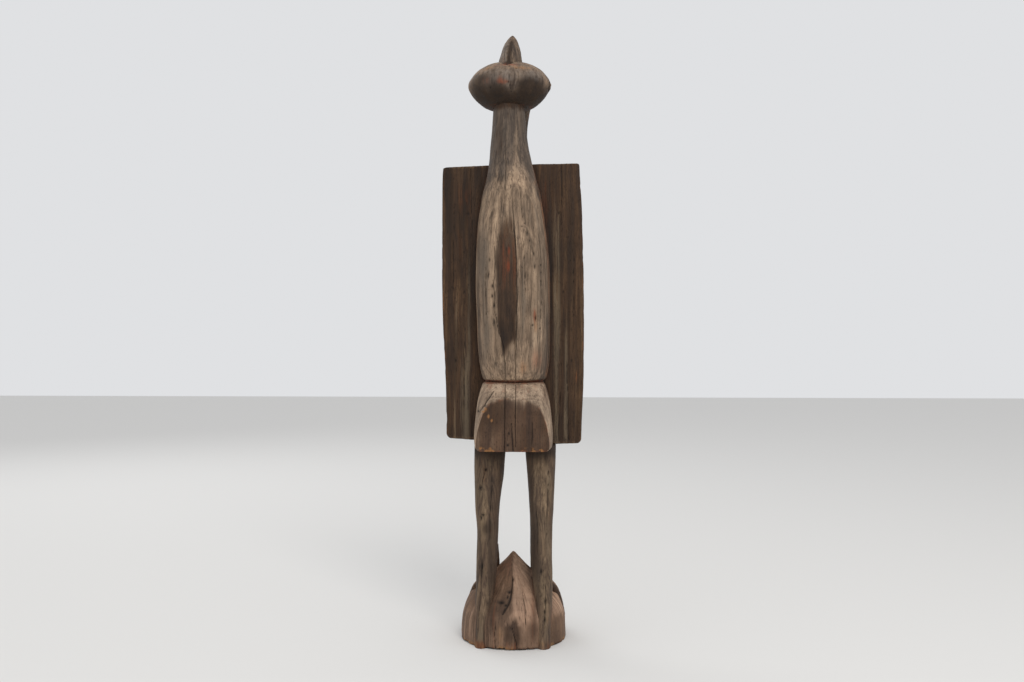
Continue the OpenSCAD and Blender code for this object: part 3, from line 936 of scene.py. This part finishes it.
# The waist seam is a groove with a dark joint line and rust; the darker band round it is partly painted shade
# in the groove.
waist = ridge(z, 519.5, 2.6)
d = relief(g, 1.0, 0.45, 0.34, 21, (22, 22, 60), (3.6, 3.6, 110)) - 2.6 * crack - 1.7 * hole - 0.5 * stripe
d += 0.25 * noise(g, (2.4, 2.4, 60), 23) * step(900, 860, z) * (1 - 0.6 * stripe)
d -= 1.4 * waist * (1 - 0.5 * ahead)
hidden = (z < WAIST - 1.0) & (y < SEAT)
g = pushed(g, d)
g[..., 1] = np.where(hidden, np.maximum(g[..., 1], SEAT), g[..., 1])
below_shoulder = step(SHOULDER + 3, SHOULDER - 6, z)
# Where the torso runs in between the wings it is painted darker: painted shade in the crevice, with some rust
# laid over it.
crevice_shade = ridge(y, 0, 7) * step(WAIST - 20, WAIST + 12, z) * below_shoulder
crevice_shade = np.maximum(crevice_shade, step(-9, -1, y) * step(24, 20, y) * below_shoulder)
# The top of the neck, under the head, is painted darker: painted shade under the head.
shade_under_head = step(HEAD - 62, HEAD - 46, z)
halo = (
    behind * (
        ridge(x, -37, 6) * step(600, 660, z) * step(870, 800, z)
        + 1.1 * ridge(x, 26, 12) * step(600, 660, z) * step(860, 800, z)
        + 0.8 * ridge(x, 46, 4) * step(560, 640, z) * step(800, 740, z)
        + 0.5 * np.exp(-((x + 6) / 34)**2 - ((z - 548) / 26)**2)
    )
)
streaks = layered(g, (5, 5, 130), 71)
streaky = step(-0.3, 0.3, streaks)
seam = step(0.94, 0.99, off_axis) * step(2, -6, y) * step(WAIST + 4, WAIST + 16, z) * below_shoulder
neck_light = 0.8 * spot(g, 8, 1000, 7, 75) + 1.2 * spot(g, 4, 896, 26, 30) + 0.5 * spot(g, 27, 785, 8, 40)
masks = {
    # The lower flanks, and the right flank all the way up, get less of the pale colour near their edges:
    # painted shade on the flanks.
    "pale": along(z, [
            [390, 0.66], [520, 0.72], [560, 0.8], [700, 0.78], [800, 0.76], [850, 0.8], [895, 0.76],
            [940, 0.38], [1000, 0.14], [1085, 0.08]
        ]) + 0.35 * halo + 0.3 * streaks + 0.42 * behind * neck_light - 0.1 * ahead
        - 0.2 * step(0.72, 1.0, (x - lean) / half) * behind
        - 0.3 * step(0.66, 0.95, off_axis) * step(700, 620, z) * behind
        - 0.35 * step(0.55, 0.95, off_axis) * step(870, 900, z) * step(975, 950, z) * behind,
    "stain_and_shade": np.maximum(stripe * stripe_tone, 0.5 * waist) + 0.5 * crevice_shade + 0.15 * seam + 0.75 * shade_under_head
        + behind * (
            0.55 * spot(g, -54, 690, 6, 80) * streaky + 0.2 * spot(g, 30, 730, 5, 60) * streaky
            + 0.4 * spot(g, -24, 1000, 8, 60)
        ) + 0.42 * patches(g, 0.22, 0.6, (7, 7, 70), 72) * (1 - 0.7 * behind * spot(g, 6, 872, 34, 50)),
    "rust": 0.35 * crevice_shade * patches(g, -0.3, 0.5, (14, 14, 50), 73)
        + (0.34 + 0.4 * layered(g, (30, 30, 60), 77)) * seam * (0.8 + 0.2 * np.sign(x))
        + (0.25 + 0.5 * behind) * waist
        + behind * (
            spots(
                g, (1, -4, 778, 2.2, 6), (1.1, -5, 745, 2.4, 8), (0.8, 45, 650, 3, 12),
                (0.45, 50, 560, 14, 24)) + 0.45 * stripe * spot(g, -4, 752, 26, 60) * (0.7 + 0.6 * streaks)
        ),
    "worn": 0.3 * seam
        + behind
        * (0.4 * patches(g, 0.2, 0.7, (12, 12, 90), 74) * step(30, 44, x) + 0.5 * spot(g, 24, 548, 10, 16))
        + 0.3 * ahead * patches(g, 0.2, 0.7, (22, 22, 60), 75),
    "cool": 0.9 * behind * (
            spots(
                g, (1, -58, 750, 13, 66), (0.8, -50, 615, 9, 50), (0.6, 22, 650, 8, 46),
                (0.4, 58, 720, 6, 90)) + 0.25 * spot(g, 30, 740, 6, 70) * streaky
        ) + 0.35 * patches(g, 0.0, 0.6, (14, 14, 120), 76) + 0.3 * step(900, 960, z),
    "gap": np.maximum(np.maximum(crack, hole)**1.2, 0.55 * ridge(z, 518.2, 1.3))
        + 1.3 * stripe * np.maximum(stripe_tone - 0.85, 0)
        + 0.25 * stripe * patches(g, 0.1, 0.6, (4, 4, 70), 26),
}
make("torso", [(g, masks)], torso_wood)

# ---------------------------------------------------------------- tail

tail_lo = mm("tail")[0]
PLANED = tail_lo[1]
drop = WAIST - tail_lo[2]
tail_x = (mm("tail")[0][0] + mm("tail")[1][0]) / 2
tail_rows = [
    [0.00, 0.975, 1.62], [0.05, 1.025, 1.56], [0.17, 1.045, 1.42], [0.32, 1.035, 1.26], [0.47, 1.01, 1.10],
    [0.61, 0.985, 0.95], [0.76, 0.945, 0.78], [0.89, 0.885, 0.60], [0.97, 0.835, 0.47], [1.00, 0.81, 0.42]
]
path = spaced(
    curved([[tail_lo[2] + h * drop, w * B, b * B] for h, w, b in tail_rows]), 200, np.array([1, 1, 0.4])
)
rings = []
a = np.radians(np.linspace(180, 360, 400))
for h, w, b in path:
    ring = np.stack([w * np.sign(np.cos(a)) * np.abs(np.cos(a))**0.8, -b * np.abs(np.sin(a))**0.8], 1)
    ring = even(
        ring, 260,
        lambda x, y: 1 + 1.8 * (np.exp(-(((x + 15) / 5)**2)) + np.exp(-(((x - 6) / 6)**2))) * (y < -10)
    )
    rings.append(np.stack([ring[:, 0] + tail_x, ring[:, 1] + SEAT, np.full(260, h)], 1))
g = rounded(np.array(rings), 3.5, 2.5)
past = PLANED + 2 + 3 * step(20, 62, np.abs(g[..., 0])) - g[..., 1]
smooth_past = (past + np.sqrt(past**2 + 9)) / 2
upper = step(462, 480, g[..., 2])
face = step(
    -1.5 - 3 * upper, 2.5 + 5 * upper,
    past - 1.6 * step(-46, -62, g[..., 0]) * step(400, 440, g[..., 2])
    + upper * (3.2 + 1.6 * layered(g, (9, 20, 9), 80))
)
g[..., 1] = g[..., 1] + smooth_past
x, y, z = g[..., 0], g[..., 1], g[..., 2]
behind = back_of(g, SEAT - 8)
crack = cracks(g, [
    (1.5, [[384, -12.6, 0.9], [450, -12, 0.8], [514, -12.2, 0.8]]),
    (1.4, [[394, 8.7, 0.6], [460, 8.5, 0.9], [514, 8.7, 0.7]]),
    (2.2, [[384, 4, 0.7], [412, 2, 1], [440, 1, 0.3]]),
    (3.6, [
        [456, -66, 0.3], [466, -60, 0.6], [479, -51, 0.8], [490, -44, 1], [497, -39, 0.9], [502, -35, 0.3]
    ]),
    (1.5, [[386, 40, 0.6], [430, 42, 0.8], [470, 41, 0.2]])
], behind)
hole = pits(g, [(-66, 462, 2.2, 3), (-52, 474, 2, 3), (-4, 420, 2, 4), (-6, 397, 2.5, 3)], behind)
tooled = noise(g, (40, 40, 2.2), 82) * face
chips = step(12, 0, z - tail_lo[2]) * np.maximum(layered(g * (1, 1, 0), (8, 30, 8), 83) + 0.1, 0)
d = (
    relief(g, 0.8, 0.4, 0.28, 81, (24, 24, 30), (4, 4, 60)) + 0.22 * tooled - 2.4 * crack - 1.6 * hole
    - 2.6 * chips
)
seat_side = step(SEAT - 1.5, SEAT - 0.2, y)
g = pushed(g, d * (1 - seat_side))
edge = ridge(past, 0, 2.5)
masks = {
    "pale": 0.92 - 0.8 * face + 0.25 * layered(g, (12, 12, 60), 84)
        + spots(g, (0.3, -44, 488, 12, 14), (0.5, 26, 488, 30, 12), (0.3, -54, 496, 10, 12))
        - 0.5 * step(50, 66, x) * step(466, 490, z) + 0.3 * step(-58, -68, x),
    # The top band of the tail just under the waist seam is darkened: partly the dark joint, partly painted
    # shade in the waist groove.
    "stain_and_shade": 0.62 * face * (0.8 + 0.5 * layered(g, (30, 30, 34), 85) - 0.6 * spot(g, 24, 484, 28, 16))
        + 0.5 * step(8, 0, WAIST - z) + 0.5 * face * spot(g, -38, 458, 22, 26)
        + 0.7 * (1 - face) * spot(g, -36, 470, 6, 20) * 0.4,
    "rust": 0.16 * face * step(6, 20, x) * (0.6 + 0.8 * layered(g, (16, 16, 30), 92))
        + 0.5 * edge * patches(g, -0.2, 0.5, (10, 10, 24), 86) + 0.35 * step(6, 0, z - tail_lo[2])
        + 0.45 * (1 - face) * patches(g, 0.1, 0.6, (14, 14, 40), 87) + 0.6 * step(4, 0, WAIST - z),
    "worn": behind * (
            spots(g, (1, -50, 467, 3, 4), (1, -44, 453, 3, 4), (1, -38, 445, 2.4, 3), (1, -54, 462, 4, 2))
            + step(13, 3, z - tail_lo[2]) * patches(g, -0.15, 0.35, (7, 30, 7), 88)
            * (step(-66, -58, x) * step(-22, -30, x) + step(18, 26, x) * step(66, 58, x))
        ) + 0.5 * edge * patches(g, 0.1, 0.6, (8, 8, 14), 89),
    "cool": 0.3 * face * patches(g, 0.0, 0.6, (16, 16, 40), 90),
    "gap": np.maximum(crack, hole)**1.3,
}
make("tail", [(g, masks)], tail_wood)

# ---------------------------------------------------------------- wings

SPAN = 145.0
boards = {
    "left_wing": (-1, [
        [0.00, 0.950], [0.15, 0.954], [0.26, 0.973], [0.40, 1.000], [0.60, 1.014], [0.88, 1.014],
        [1.00, 1.006]
    ], (5, 12), (2, -2)),
    "right_wing": (1, [
        [0.00, 0.952], [0.15, 0.974], [0.26, 0.988], [0.52, 0.990], [0.70, 0.976], [0.88, 0.952],
        [1.00, 0.925]
    ], (-1.6, 2.2), (2, 4)),
}
WING_TOP = 0.7852 * TOP
for name, (way, edge_rows, foot, top) in boards.items():
    lo, hi = mm(name)
    root = lo[0] if way > 0 else -hi[0]
    t, mid_y = (hi[1] - lo[1]) / 2, (hi[1] + lo[1]) / 2
    low_in, low_out = HIP + foot[0], HIP + foot[1]
    high_in, high_out = WING_TOP + top[0], WING_TOP + top[1]
    tall = high_out - low_out
    profile = curved(edge_rows)
    ends = np.array([0, 0.15, 0.4, 0.8, 1.3, 2, 2.8, 3.8, 5, 6.5, 8, 10])
    levels = np.concatenate([ends, np.linspace(12, tall - 12, 290), tall - ends[::-1]])
    rings = []
    for up in levels:
        far = min(up, tall - up)
        out_x = np.interp(up / tall, profile[:, 0], profile[:, 1]) * SPAN
        corner = 9.0 if up < tall / 2 else 4.5
        out_x -= corner - math.sqrt(max(corner**2 - max(corner - far, 0)**2, 0))
        thin = 3.2 - math.sqrt(max(3.2**2 - max(3.2 - far, 0)**2, 0))
        h = t - thin
        r = min(4.5, h * 0.9)
        a = np.radians(np.linspace(0, 90, 9))
        ring = [[root, -h]] + [[x, -h] for x in np.linspace(root + 1, out_x - r, 60)]
        ring += [[out_x - r + r * math.sin(v), -h + r * (1 - math.cos(v))] for v in a[1:]]
        ring += [[out_x - r * (1 - math.cos(v)), h - r * (1 - math.sin(v))] for v in a]
        ring += [[x, h] for x in np.linspace(out_x - r, root + 1, 60)[1:]] + [[root, h]]
        ring = even(np.array(ring), 200, lambda x, y: 1 + 1.4 * (x > out_x - 7))
        share = (ring[:, 0] - root) / (SPAN - root)
        foot_z = low_in + share * (low_out - low_in)
        top_z = high_in + share * (high_out - high_in)
        ring = np.stack([ring[:, 0], ring[:, 1] + mid_y, foot_z + (top_z - foot_z) * up / tall], 1)
        if way < 0:
            ring = (ring * (-1, 1, 1))[::-1]
        rings.append(ring)
    g = np.array(rings)
    x, y, z = np.abs(g[..., 0]), g[..., 1], g[..., 2]
    behind = back_of(g, mid_y)
    out_at = np.interp((z - low_out) / tall, profile[:, 0], profile[:, 1]) * SPAN
    rim = step(7, 0.5, out_at - x)
    tips = step(5, 0.3, np.minimum(z - low_out, high_out - z))
    if way < 0:
        lines = [
            (1.3, [[410, -103, 0.8], [500, -101, 0.9], [640, -99, 0.2]]),
            (1.1, [[640, -122, 0.2], [760, -124, 0.9], [890, -121, 0.2]]),
            (1.2, [[800, -84, 0.2], [880, -86, 0.7], [952, -87, 1]]),
            (1.0, [[404, -84, 0.9], [440, -84, 0.7], [482, -83, 0.2]])
        ]
        lines_ahead = [
            (1.5, [[404, -96, 1], [520, -92, 0.8], [660, -97, 0.2]]),
            (1.2, [[740, -116, 0.2], [860, -112, 0.9], [950, -114, 1]])
        ]
    else:
        lines = [
            (1.3, [[398, 112, 0.9], [480, 110, 0.8], [590, 108, 0.2]]),
            (1.1, [[600, 124, 0.2], [700, 122, 0.8], [800, 124, 0.2]]),
            (1.2, [[830, 96, 0.2], [900, 98, 0.7], [957, 97, 1]]),
            (1.0, [[396, 92, 0.9], [450, 93, 0.7], [500, 94, 0.2]])
        ]
        lines_ahead = [
            (1.5, [[396, 90, 1], [500, 93, 0.8], [640, 88, 0.2]]),
            (1.2, [[700, 120, 0.2], [830, 116, 0.9], [958, 118, 1]])
        ]
    crack = np.maximum(cracks(g, lines, behind), cracks(g, lines_ahead, 1 - behind))
    hole = pits(g, [(way * 101, 700, 1.6, 3), (way * 118, 560, 1.8, 4), (way * 92, 860, 1.5, 3)], 1.0)
    nibble = (
        rim * (
            1.3 * np.maximum(layered(g, (60, 60, 26), 101 + way), 0)
            + 2.2 * np.maximum(noise(g, (60, 60, 15), 103 + way) - 0.45, 0)
        )
    )
    d = relief(g, 0.9, 0.35, 0.5, 105 + way, (26, 26, 80), (3.4, 8, 150)) - 2.0 * crack - 1.2 * hole - nibble
    d += 0.2 * noise(g, (1.8, 6, 90), 107)
    g = pushed(g, d)
    ribbons = layered(g, (6, 30, 260), 108 + way)
    body_edge = along(z, [[r[0], r[2] + way * r[1]] for r in rows])
    shade = ridge(x, body_edge, 7)
    if way < 0:
        silver = (
            0.9
            * band(g, [[360, -102], [560, -99], [800, -96]], [[360, -92], [560, -88], [800, -88]], 4, 60)
            + 0.6 * band(g, [[360, -111], [560, -108]], [[360, -103], [560, -103]], 3, 50)
            + 0.3 * band(g, [[360, -123], [700, -119]], [[360, -116], [700, -113]], 3, 60)
        )
        red = 0.5 * step(950, 900, z) * step(600, 700, z) * spot(g, -100, 880, 20, 120) + 0.4 * rim
        light = 0.3 * silver
    else:
        silver = (
            0.8 * band(g, [[560, 82], [660, 82], [860, 80]], [[560, 96], [660, 95], [860, 95]], 5, 60)
            + 0.55
            * band(g, [[360, 101], [500, 102], [630, 104]], [[360, 112], [500, 111], [630, 110]], 3, 60)
            + 0.6 * band(g, [[360, 82], [560, 83]], [[360, 93], [560, 94]], 4, 60)
        )
        red = 0.6 * spot(g, 64, 890, 12, 70) + 0.5 * rim
        light = 0.35 * silver
    both = 0.45 * (1 - behind) * step(0.1, 0.6, ribbons)
    masks = {
        "pale": 0.12 + 0.3 * ribbons + light + both * 0.6 + 0.35 * tips,
        "stain_and_shade": 0.5 * patches(g, -0.1, 0.5, (12, 30, 200), 111 + way)
            + (0.35 if way < 0 else 0.0) * step(800, 930, z) + 0.75 * shade
            + (
                0.55 * band(g, [[663, 108], [907, 108]], [[663, 126], [907, 126]], 6, 60) if way > 0
                else 0.3 * spot(g, -122, 800, 10, 120)),
        "rust": 0.8 * red * patches(g, -0.4, 0.4, (9, 9, 60), 113) * behind
            + 0.22 * rim * patches(g, -0.2, 0.5, (9, 9, 50), 115) + 0.08 * tips + 0.3 * shade,
        "worn": 0.5 * rim * patches(g, 0.15, 0.6, (20, 20, 18), 114 + way)
            + (0.9 * spot(g, 128, 527, 2, 14) if way > 0 else 0.6 * spot(g, -141, 560, 2, 20)) + 0.2 * tips,
        "cool": silver * step(-0.7, 0.1, ribbons) + both,
        "gap": np.maximum(crack, hole)**1.3,
    }
    make(name, [(g, masks)], wing_wood)

# ---------------------------------------------------------------- head

head_rows = [
    [-50, 0.20, 0.16, 0.20, 2.0], [-47.5, 0.40, 0.32, 0.40, 2.0], [-41, 0.595, 0.50, 0.62, 2.0],
    [-32, 0.74, 0.63, 0.76, 1.95], [-23, 0.84, 0.72, 0.85, 1.9], [-14, 0.91, 0.77, 0.91, 1.85],
    [-6, 0.97, 0.80, 0.95, 1.8], [0, 0.985, 0.81, 0.96, 1.8], [8, 0.97, 0.80, 0.95, 1.8],
    [17, 0.90, 0.76, 0.91, 1.85], [26, 0.81, 0.69, 0.83, 1.9], [34, 0.69, 0.58, 0.72, 1.95],
    [42, 0.50, 0.43, 0.55, 2.0], [47, 0.25, 0.22, 0.28, 2.0], [48, 0.06, 0.06, 0.07, 2.0]
]
g = loft([[HEAD + h, -0.5, w * HR * 1.034, 8, b * HR, f * HR, q] for h, w, b, f, q in head_rows], 170, 300)
local = g - (0, 0, HEAD)
x, y, z = local[..., 0], local[..., 1], local[..., 2]
behind = step(2, -8, y)
tip = ridge(np.abs(x), 84, 16)
from_eye = np.sqrt((y - EYE_Y)**2 + z**2)
socket = step(12.4, 11.6, from_eye) * step(60, 70, np.abs(x))
collar = ridge(from_eye, 12.2, 0.9) * step(60, 70, np.abs(x))
hole = pits(local, [(8, -7, 2, 2.4), (8, 28, 1.4, 1.4), (22, 22, 1.5, 1.3), (-30, -15, 1.6, 2)], behind)
crack = cracks(local, [
    (1.1, [[-30, 14, 0.2], [-6, 10, 0.9], [24, 7, 0.2]]),
    (0.9, [[-4, -52, 0.2], [10, -50, 0.8], [26, -44, 0.2]])
], behind)
crack = np.maximum(
    crack,
    cracks(local, [
        (1.3, [[4, 40, 0.3], [20, 36, 1], [34, 26, 0.3]]),
        (1.2, [[-30, -44, 0.2], [-12, -50, 1], [10, -52, 0.3]])
    ], 1 - behind)
)
d = relief(g, 0.8, 0.5, 0.2, 121, (17, 17, 17), (3, 3, 30)) - 1.6 * hole - 1.6 * crack - 0.8 * collar
g = pushed(g, d)
g[..., 0] -= np.sign(g[..., 0]) * socket * np.maximum(np.abs(g[..., 0]) - HR + 6, 0)
blots = layered(g, (12, 12, 9), 125)
level = z + 7 * layered(g, (34, 34, 40), 127) + 5 * (1 - behind) + 1.5 * noise(g, (5, 5, 40), 129)
face_dark = step(-0.2, 0.5, layered(g, (26, 26, 26), 126))
ring_line = step(24, 30, z) * ridge(z, 31.5, 3.2) * step(30, 22, np.abs(x - 1))
# The stain mask rises towards the bottom of the head: painted shade on its underside. The pale colour rises
# towards the top.
masks = {
    "pale": 0.3 * behind * spot(local, 27, 10, 14, 11)
        + along(level, [[-50, 0.0], [-28, 0.03], [-14, 0.14], [0, 0.34], [14, 0.6], [26, 0.82], [48, 0.85]])
        * (0.75 + 0.25 * behind) + 0.3 * blots * step(-6, 6, z)
        + 0.3 * step(0.5, 0.9, tip) * step(-30, -10, z),
    "stain_and_shade": along(level, [[-50, 0.9], [-26, 0.82], [-14, 0.6], [-4, 0.4], [8, 0.2], [22, 0.06], [48, 0.0]])
        * (1 - 0.55 * step(62, 78, np.abs(x))) + spots(local, (0.5, 46, -8, 22, 14), (0.5, -46, 9, 18, 9))
        - 0.6 * behind * spot(local, 14, -12, 12, 17) + 0.2 * blots + 0.35 * (1 - behind) * face_dark,
    "rust": behind * (0.6 + 0.5 * blots)
        * spots(local, (0.95, -6, -5, 9, 6), (0.7, -9, 3, 5, 8), (0.6, 4, -6, 6, 3), (0.35, -42, 0, 20, 9))
        + 0.5 * ring_line + 0.25 * step(0.1, 0.6, blots) * step(20, 30, z) + 0.22 * step(-38, -45, z)
        + 0.3 * collar,
    "worn": behind * spots(local, (0.65, 30, 24, 24, 5), (0.5, -36, 27, 20, 6))
        + 0.3 * patches(g, 0.2, 0.7, (9, 9, 6), 128) * step(8, 20, z) + 0.3 * tip * step(-10, 0, z),
    "cool": behind
        * along(z, [[-50, 0.0], [-26, 0.15], [-10, 0.5], [6, 0.8], [20, 0.6], [30, 0.15], [48, 0.0]])
        * (step(74, 40, np.abs(x - 6)) + 0.5 * step(44, 60, x)) * (0.7 + 0.5 * blots),
    "gap": np.maximum(np.maximum(crack, hole)**1.3, 0.5 * collar),
}
make("head", [(on_neck(g), masks)], head_wood)

# ---------------------------------------------------------------- crest

CREST_FOOT = 33
crest_rows = [
    [0.18, 2, 0.325, 0.62, 0.80], [0.45, 2, 0.288, 0.58, 0.76], [0.55, 2.6, 0.262, 0.53, 0.70],
    [0.62, 3.1, 0.244, 0.48, 0.64], [0.70, 3.6, 0.225, 0.41, 0.55], [0.78, 4, 0.195, 0.33, 0.44],
    [0.86, 4.6, 0.155, 0.24, 0.32], [0.93, 5.4, 0.105, 0.14, 0.19], [0.98, 6, 0.05, 0.06, 0.08],
    [1.00, 6.3, 0.014, 0.02, 0.02]
]
g = loft([
    [HEAD + h * (TOP - HEAD), x, w * HR, 6, b * HR, f * HR, 1.7] for h, x, w, b, f in crest_rows
], 130, 220)
local = g - (4, 0, HEAD)
x, y, z = local[..., 0], local[..., 1], local[..., 2]
behind = step(10, 0, y)
crack = cracks(local, [
    (1.2, [[34, -7, 0.8], [50, -8, 1], [74, -7, 0.2]]), (0.9, [[34, 8, 0.7], [56, 7, 0.8], [70, 6, 0.2]])
], 1.0)
d = relief(g, 0.5, 0.35, 0.3, 131, (14, 14, 22), (3, 3, 50)) - 1.5 * crack
g = pushed(g, d * step(0, 4, TOP - g[..., 2]))
fine = layered(g, (4, 4, 60), 132)
masks = {
    "pale": 0.35 + 0.3 * fine + 0.3 * step(2, -8, x),
    "stain_and_shade": 0.85 * behind * ridge(x - 4 + 0.05 * (80 - z), 0, 4.2) * step(94, 80, z)
        * step(-0.9, 0.0, fine + 0.2) + 0.55 * step(8, 0, z - CREST_FOOT) + 0.25 * step(0.1, 0.6, fine),
    "rust": 0.2 * behind * step(6, -6, x) * patches(g, -0.2, 0.5, (8, 8, 30), 133)
        + 0.25 * step(5, 0, z - CREST_FOOT),
    "worn": 0.3 * step(80, 96, z) + 0.3 * patches(g, 0.2, 0.7, (9, 9, 20), 134),
    "cool": 0.6 * step(4, -5, x) * step(-0.5, 0.2, fine) + 0.3 * patches(g, 0.1, 0.5, (10, 10, 30), 135),
    "gap": crack**1.3,
}
make("crest", [(on_neck(g), masks)], head_wood)

# ---------------------------------------------------------------- beak

beak_rows = [
    [52, 0.912, 57, 34, 28], [64, 0.911, 52.5, 31, 26], [76, 0.909, 45.5, 28.5, 23.5],
    [88, 0.905, 38.5, 26.5, 22], [100, 0.898, 32, 25, 21], [117, 0.883, 24.5, 22, 19],
    [129, 0.862, 19.5, 21, 18], [138, 0.830, 18, 20, 17], [143, 0.782, 17, 18, 16],
    [142, 0.728, 16, 17, 15], [136, 0.674, 14.5, 15, 13], [125, 0.622, 13, 13, 12],
    [110, 0.577, 11, 11, 10], [94, 0.545, 9, 9, 8], [76, 0.517, 6, 6, 6]
]
g, far = path_loft(
    [[0, y, h * TOP, w, i, o] for y, h, w, i, o in beak_rows], 330, 150,
    lambda row: outline(row[3], row[4], row[5], 2.1, 720)
)
share = (far / far[-1])[:, None] * np.ones(g.shape[1])
turn = np.arange(g.shape[1]) / g.shape[1] * 2 * math.pi
flank = (
    np.minimum(np.abs((turn + math.pi) % (2 * math.pi) - math.pi), np.abs(turn - math.pi))[None, :]
    * np.ones_like(share)
)
thick = g[..., 0].max(1)[:, None]
mouth = ridge(flank * thick, 0, 1.5) * step(0.1, 0.16, share) * step(0.97, 0.92, share)
nostril = (
    np.exp(-((share - 0.17) * far[-1] / 6)**2 - ((flank - 0.75) * thick / 3.2)**2)
    * (np.sin(turn)[None, :] < 0)
)
crack = (
    np.clip(1 - np.abs((turn[None, :] - 4.9 - 0.1 * np.sin(share * 22)) * thick) / 1.3, 0, 1)
    * step(0.24, 0.34, share) * step(0.74, 0.62, share)
)
d = relief(g, 0.7, 0.5, 0.3, 141, (15, 15, 34), (3.4, 3.4, 60)) - 2.1 * mouth - 1.8 * nostril - 1.4 * crack
g = pushed(g, d)
fine = layered(g, (5, 5, 70), 142)
masks = {
    "pale": 0.32 + 0.35 * fine + 0.2 * step(0.5, 0.7, share),
    "stain_and_shade": 0.8 * mouth + 0.7 * nostril + 0.45 * patches(g, 0.0, 0.6, (16, 16, 50), 143)
        + 0.4 * step(0.15, 0.05, share) + 0.3 * step(0.92, 0.99, share),
    "rust": 0.35 * patches(g, 0.1, 0.7, (14, 14, 40), 144) + 0.3 * mouth,
    "worn": 0.45 * patches(g, 0.1, 0.6, (12, 12, 34), 145) * step(0.2, 0.3, share)
        * (np.sin(turn)[None, :] > 0.2),
    "cool": 0.35 * patches(g, 0.0, 0.6, (12, 12, 60), 146),
    "gap": np.maximum(0.7 * mouth**2, crack**1.3),
}
make("beak", [(on_neck(g), masks)], head_wood)

# ---------------------------------------------------------------- eyes

EYE = 11.0
RING = 6.9
button = [
    [-16, 0.5], [-16, EYE], [-0.6, EYE], [0.3, EYE - 0.7], [1.1, EYE - 2.4], [1.4, EYE - 3.4],
    [0.6, EYE - 4.1], [1.5, EYE - 4.9], [3.0, EYE - 6.2], [4.4, EYE - 8.4], [5.0, EYE - 10.3], [5.1, 0.2]
]
for name, way in (("left_eye", -1), ("right_eye", 1)):
    path = spaced(np.array(button, float), 90, np.array([1, 1]))
    for _ in range(2):
        path[1:-1] = (path[:-2] + 2 * path[1:-1] + path[2:]) / 4
    a = np.linspace(0, 2 * math.pi, 96, endpoint=False)
    reach = (HR - 4 + path[:, 0])[:, None] * np.ones(96)
    g = np.stack([
        way * reach, EYE_Y + way * path[:, 1][:, None] * np.cos(a), HEAD + path[:, 1][:, None] * np.sin(a)
    ], -1)
    r = path[:, 1][:, None] * np.ones(96)
    out = path[:, 0][:, None] * np.ones(96)
    d = 0.25 * layered(g, (7, 7, 7), 151) + grooves(g, 0.12, (2.4, 2.4, 16), 152)
    d -= 0.9 * ridge(r, RING, 0.8) * step(0.5, 1.2, out)
    g = pushed(g, d)
    groove = ridge(r, RING, 1.0) * step(0.5, 1.2, out)
    masks = {
        "pale": 0.3 + 0.3 * step(2.4, 3.4, out) + 0.3 * layered(g, (5, 5, 9), 153),
        "stain_and_shade": groove + 0.9 * step(0.9, 0.2, out) + 0.3 * patches(g, 0, 0.5, (6, 6, 6), 154),
        "worn": 0.5 * step(3.6, 4.5, out) + 0.4 * ridge(r, 9.6, 1.0) * step(1, 1.8, out),
        "cool": 0.3 * patches(g, 0, 0.6, (8, 8, 8), 155),
        "rust": 0.25 * patches(g, 0.1, 0.6, (6, 6, 6), 156),
        "gap": 0.5 * groove + 0.4 * step(0.5, 0.0, out),
    }
    make(name, [(on_neck(g), masks)], head_wood)

# ---------------------------------------------------------------- dowels

for name in (
    "neck_dowel", "crest_dowel", "beak_dowel", "wing_dowels", "tail_dowels", "hip_dowels", "ankle_dowels"
):
    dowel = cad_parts[name]
    for place in dowel.material_slots:
        place.material = dowel_wood

# ---------------------------------------------------------------- stage

GROUND = 9.0
mesh = bpy.data.meshes.new("floor")
mesh.from_pydata([
    (-GROUND, -GROUND, 0), (GROUND, -GROUND, 0), (GROUND, GROUND, 0), (-GROUND, GROUND, 0)
], [], [(0, 1, 2, 3)])
floor = bpy.data.objects.new("floor", mesh)
bpy.context.scene.collection.objects.link(floor)
paint = Graph("floor_paint")
shader = paint.node("BsdfPrincipled")
shader.inputs["Base Color"].default_value = (0.74, 0.73, 0.71, 1)
shader.inputs["Roughness"].default_value = 0.95
shader.inputs["Specular IOR Level"].default_value = 0.1
end = paint.node("OutputMaterial")
paint.put(end.inputs[0], shader.outputs[0])
mesh.materials.append(paint.material)

world = bpy.data.worlds.new("studio")
bpy.context.scene.world = world
world.use_nodes = True
world.node_tree.nodes["Background"].inputs[0].default_value = (0.93, 0.94, 0.96, 1)
world.node_tree.nodes["Background"].inputs[1].default_value = 0.8


def lamp(name, place, size, power, warmth):
    light = bpy.data.lights.new(name, "AREA")
    light.shape = "DISK"
    light.size = size
    light.energy = power
    light.color = warmth
    thing = bpy.data.objects.new(name, light)
    bpy.context.scene.collection.objects.link(thing)
    thing.location = place
    thing.rotation_euler = (Vector((0, 0, 0.6)) - Vector(place)).to_track_quat("-Z", "Y").to_euler()


lamp("key", (1.0, -2.7, 3.2), 1.8, 56, (1.0, 0.98, 0.95))
lamp("fill", (-2.2, 2.4, 2.8), 2.6, 26, (0.98, 0.99, 1.0))

bpy.context.scene.view_settings.view_transform = "Standard"
